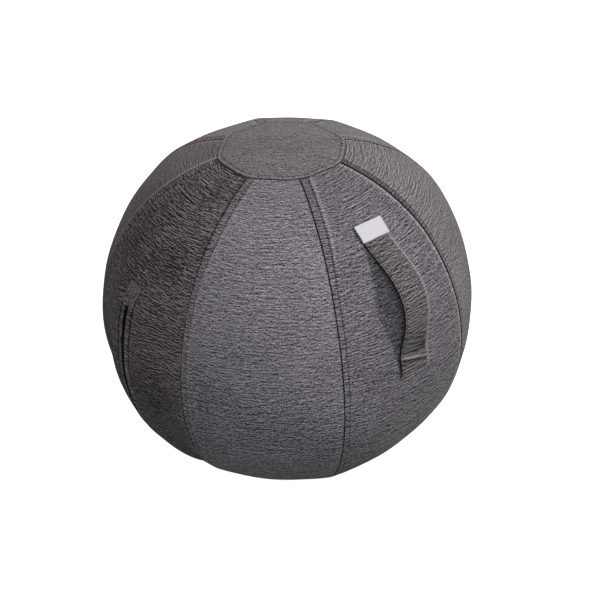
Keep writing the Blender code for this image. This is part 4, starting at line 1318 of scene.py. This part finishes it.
def grid_bmesh(points):
    """A tube of grid points as a bmesh with its ends closed."""
    made = bmesh.new()
    rows = [[made.verts.new(point) for point in row] for row in points.tolist()]
    for first, second in zip(rows[:-1], rows[1:]):
        for index in range(len(first)):
            made.faces.new((first[index - 1], second[index - 1], second[index], first[index]))
    made.faces.new(rows[0])
    made.faces.new(reversed(rows[-1]))
    bmesh.ops.recalc_face_normals(made, faces=made.faces)
    return made


def plate_object(name, parts, material, place):
    """Join bmesh plates into one object whose own axes are put in place by a matrix."""
    joined = bmesh.new()
    for part in parts:
        scratch = bpy.data.meshes.new("part")
        part.to_mesh(scratch)
        part.free()
        joined.from_mesh(scratch)
        bpy.data.meshes.remove(scratch)
    mesh = bpy.data.meshes.new(name)
    joined.transform(place)
    joined.to_mesh(mesh)
    joined.free()
    mesh.materials.append(material)
    mesh.shade_smooth()
    mesh.set_sharp_from_angle(angle=SHARP_ANGLE)
    return link_object(name, mesh)


def mirrored(outline):
    """Close an outline with its own image on the other side of x = 0."""
    return outline + [(-x, y) for x, y in reversed(outline)]


# Slider and pull tab: outlines, across as shares of the half width, with rims and overlaps where parts join
SHIELD = [(-0.62, -1.0), (-0.82, -0.7), (-1.0, -0.2), (-0.97, 0.55), (-0.8, 0.92), (-0.4, 1.0)]
POST = [(-1.0, -0.3), (-0.7, 0.6)]
PLATE_RIM = 0.00022
BASE_RIM = 0.0002
POST_RIM = 0.00005
POST_OVERLAP = 0.0001
BRIDGE_OVERLAP = 0.0002
BRIDGE_POINTS = 15
TAB_EYE = (-0.95, -0.8)
TAB_OUTLINE = [(-0.86, -0.012), (-1.0, -0.016), (-0.97, -0.0187), (-0.8, -0.0208), (-0.45, -TAB_LENGTH)]
TAB_RIM = 0.00028
TAB_NECK = 0.004
FRAME_INSET = 0.0009
FRAME_ROUND = 0.0012
FRAME_OVERLAP = 0.0006
FRAME_POINTS = 6
RIBS = 4
RIB_START = -0.0145
RIB_STEP = 0.0015
RIB_WIDTH = 0.0007
RIB_HALF = 0.6
RIB_RISE = 0.0002
RIB_RIM = 0.0001


def make_slider(materials):
    """The slider: two shield-shaped plates, a post between the coils and a bridge for the pull tab."""
    shield = mirrored([(x * SLIDER_HALF_WIDTH, y * SLIDER_HALF_LENGTH) for x, y in SHIELD])
    post = mirrored([(x * POST_HALF, y * SLIDER_HALF_LENGTH) for x, y in POST])
    foot = BAIL_HALF_LENGTH - BAIL_WALL / 2.0
    arch_high = EYE_HALF + BAIL_WALL / 2.0
    ends = [(foot, PLATE_HIGH - BRIDGE_OVERLAP), (-foot, PLATE_HIGH - BRIDGE_OVERLAP)]
    turns = np.linspace(0.0, pi, BRIDGE_POINTS)
    arch = [(foot * cos(turn), BAR_RADIUS + arch_high * sin(turn)) for turn in turns]
    bridge = swept([ends[0], *arch, ends[1]], BAIL_HALF, BAIL_WALL / 2.0)
    plates = [extruded(shield, PLATE_LOW, PLATE_HIGH, PLATE_RIM),
              extruded(shield, BASE_LOW, BASE_HIGH, BASE_RIM),
              extruded(post, BASE_HIGH - POST_OVERLAP, PLATE_LOW + POST_OVERLAP, POST_RIM),
              grid_bmesh(bridge)]
    place = Matrix.Translation(Vector(CENTRE)) @ Matrix.Rotation(POLE - SLIDER_REST, 4, "X")
    piece = plate_object("zip_slider_body", plates, materials["metal"], place)
    finish_piece(piece, "zip_metal", "zip_slider", body="zip_slider")


def make_pull_tab(materials):
    """The pull tab: a flat plate with a waist, ribs to grip and an end bar through the slider's bridge."""
    half, thick = TAB_HALF_WIDTH, BAR_HALF
    reach = hypot(BAIL_HALF_LENGTH, EYE_HALF + BAIL_WALL) + FIT_GAP
    outline = [(TAB_EYE[0], -reach), (TAB_EYE[1], -reach - TAB_NECK)] + TAB_OUTLINE
    parts = [extruded(mirrored([(x * half, y) for x, y in outline]), -thick, thick, TAB_RIM)]
    side = half - FRAME_INSET
    bend = np.linspace(0.0, pi / 2.0, FRAME_POINTS)
    frame = [(-side, -reach - FRAME_OVERLAP)]
    frame += [(-side + FRAME_ROUND * (1.0 - cos(turn)), FRAME_ROUND * (sin(turn) - 1.0)) for turn in bend]
    parts.append(grid_bmesh(swept(mirrored(frame), thick, thick)[..., [1, 2, 0]]))
    for step in range(RIBS):
        low = RIB_START - RIB_STEP * step
        rib = mirrored([(-half * RIB_HALF, low + RIB_WIDTH), (-half * RIB_HALF, low)])
        parts.append(extruded(rib, -thick - RIB_RISE, thick + RIB_RISE, RIB_RIM))
    bar = Matrix.Translation(Vector(zip_point(0.0, SLIDER_REST, BAR_RADIUS).tolist()))
    place = bar @ Matrix.Rotation(pi / 2.0 + TAB_REST, 4, "X")
    piece = plate_object("zip_pull", parts, materials["metal"], place)
    finish_piece(piece, "zip_metal", "zip_pull_tab", body="pull_tab")


def dress_kept_nodes(nodes, materials):
    """Give the CAD nodes that stay, most of them inside the cover, their finish."""
    finishes = {"inner_ball": "vinyl", "foot_ring": "foam", "valve_seat": "plastic", "valve_plug": "plastic",
                "zip_top_stop": "metal", "zip_bottom_stop": "metal"}
    for node, finish in finishes.items():
        mesh = nodes[node].data
        mesh.materials.clear()
        mesh.materials.append(materials[finish])


# Camera, fitted to the photograph's outline and seams
CAMERA_DISTANCE = 4.9276 * BALL_RADIUS
CAMERA_ELEVATION = radians(36.13)
CAMERA_AZIMUTH = radians(53.91)
CAMERA_ROLL = radians(-2.05)
CAMERA_OFFSET = (0.0613 * BALL_RADIUS, -0.0257 * BALL_RADIUS)
CAMERA_LENS = 54.0
CAMERA_SENSOR = 36.0


def make_camera():
    """Stand where the photograph was taken from."""
    toward = Vector(direction(CAMERA_AZIMUTH, CAMERA_ELEVATION).tolist())
    level = toward.to_track_quat("Z", "Y").to_matrix()
    back = toward * CAMERA_DISTANCE - level @ Vector((*CAMERA_OFFSET, 0.0))
    turn = back.to_track_quat("Z", "Y").to_matrix() @ Matrix.Rotation(CAMERA_ROLL, 3, "Z")
    data = bpy.data.cameras.new("camera")
    data.lens = CAMERA_LENS
    data.sensor_width = CAMERA_SENSOR
    camera = link_object("camera", data)
    camera.matrix_world = Matrix.Translation(Vector(CENTRE) + toward * CAMERA_DISTANCE) @ turn.to_4x4()
    bpy.context.scene.camera = camera


# Lamps: name, azimuth, elevation, size, power and colour
LAMPS = (("key", radians(124.0), radians(42.0), 0.6, 34.4, (1.0, 0.965, 0.96)),
         ("front", radians(57.0), radians(36.0), 1.2, 22.3, (0.94, 0.965, 1.0)),
         ("back", radians(236.0), radians(14.0), 1.2, 35.0, (1.0, 0.97, 0.95)))
LAMP_DISTANCE = 2.6
HORIZON_LEVEL = 0.058
ZENITH_LEVEL = 0.3
SURROUND_TINT = (1.0, 0.92, 0.9)
WHITE = (1.0, 1.0, 1.0)
FLOOR_HALF = 8.0
FLOOR_SHADE = (0.8, 0.8, 0.8)
FLOOR_BOUNCE = (0.03, 0.03, 0.03)
FLOOR_GLOW = 0.88
FLOOR_ROUGHNESS = 0.9


def make_stage():
    """A white floor that keeps the ball's soft shadow, three large lamps and a surround seen as white."""
    mesh = bpy.data.meshes.new("floor")
    corners = [(x * FLOOR_HALF, y * FLOOR_HALF, 0.0) for x, y in ((-1, -1), (1, -1), (1, 1), (-1, 1))]
    mesh.from_pydata(corners, [], [(0, 1, 2, 3)])
    link_object("floor", mesh)
    n = Surface("floor")
    mesh.materials.append(n.material)
    seen = n.seen()
    n.finish(n.mix(seen, FLOOR_BOUNCE, FLOOR_SHADE), FLOOR_ROUGHNESS)
    n.feed(n.shader.inputs["Emission Color"], (*WHITE, 1.0))
    n.feed(n.shader.inputs["Emission Strength"], seen * FLOOR_GLOW)
    world = bpy.data.worlds.new("surround")
    bpy.context.scene.world = world
    world.use_nodes = True
    n = Nodes(world.node_tree)
    background = n.tree.nodes["Background"]
    seen = n.seen()
    height = n.split(n.add("ShaderNodeTexCoord").outputs["Generated"])[2]
    level = n.spread(height, 0.0, 1.0, HORIZON_LEVEL, ZENITH_LEVEL)
    n.feed(background.inputs["Strength"], n.math("MAXIMUM", level, seen))
    n.feed(background.inputs["Color"], n.mix(seen, SURROUND_TINT, WHITE))
    for name, azimuth, elevation, size, power, colour in LAMPS:
        data = bpy.data.lights.new(name, "AREA")
        data.shape = "DISK"
        data.size = size
        data.energy = power
        data.color = colour
        lamp = link_object(name, data)
        toward = Vector(direction(azimuth, elevation).tolist())
        lamp.location = Vector(CENTRE) + toward * LAMP_DISTANCE
        lamp.rotation_euler = toward.to_track_quat("Z", "Y").to_euler()
    bpy.context.scene.view_settings.view_transform = "Standard"


def main():
    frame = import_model()
    make_camera()
    materials = make_materials()
    for make in (make_cover, make_cap, make_foot, make_handle, make_label, make_patch, make_zip_rows,
                 make_slider, make_pull_tab):
        make(materials)
    dress_kept_nodes(frame["nodes"], materials)
    make_stage()
    bpy.context.view_layer.update()


main()
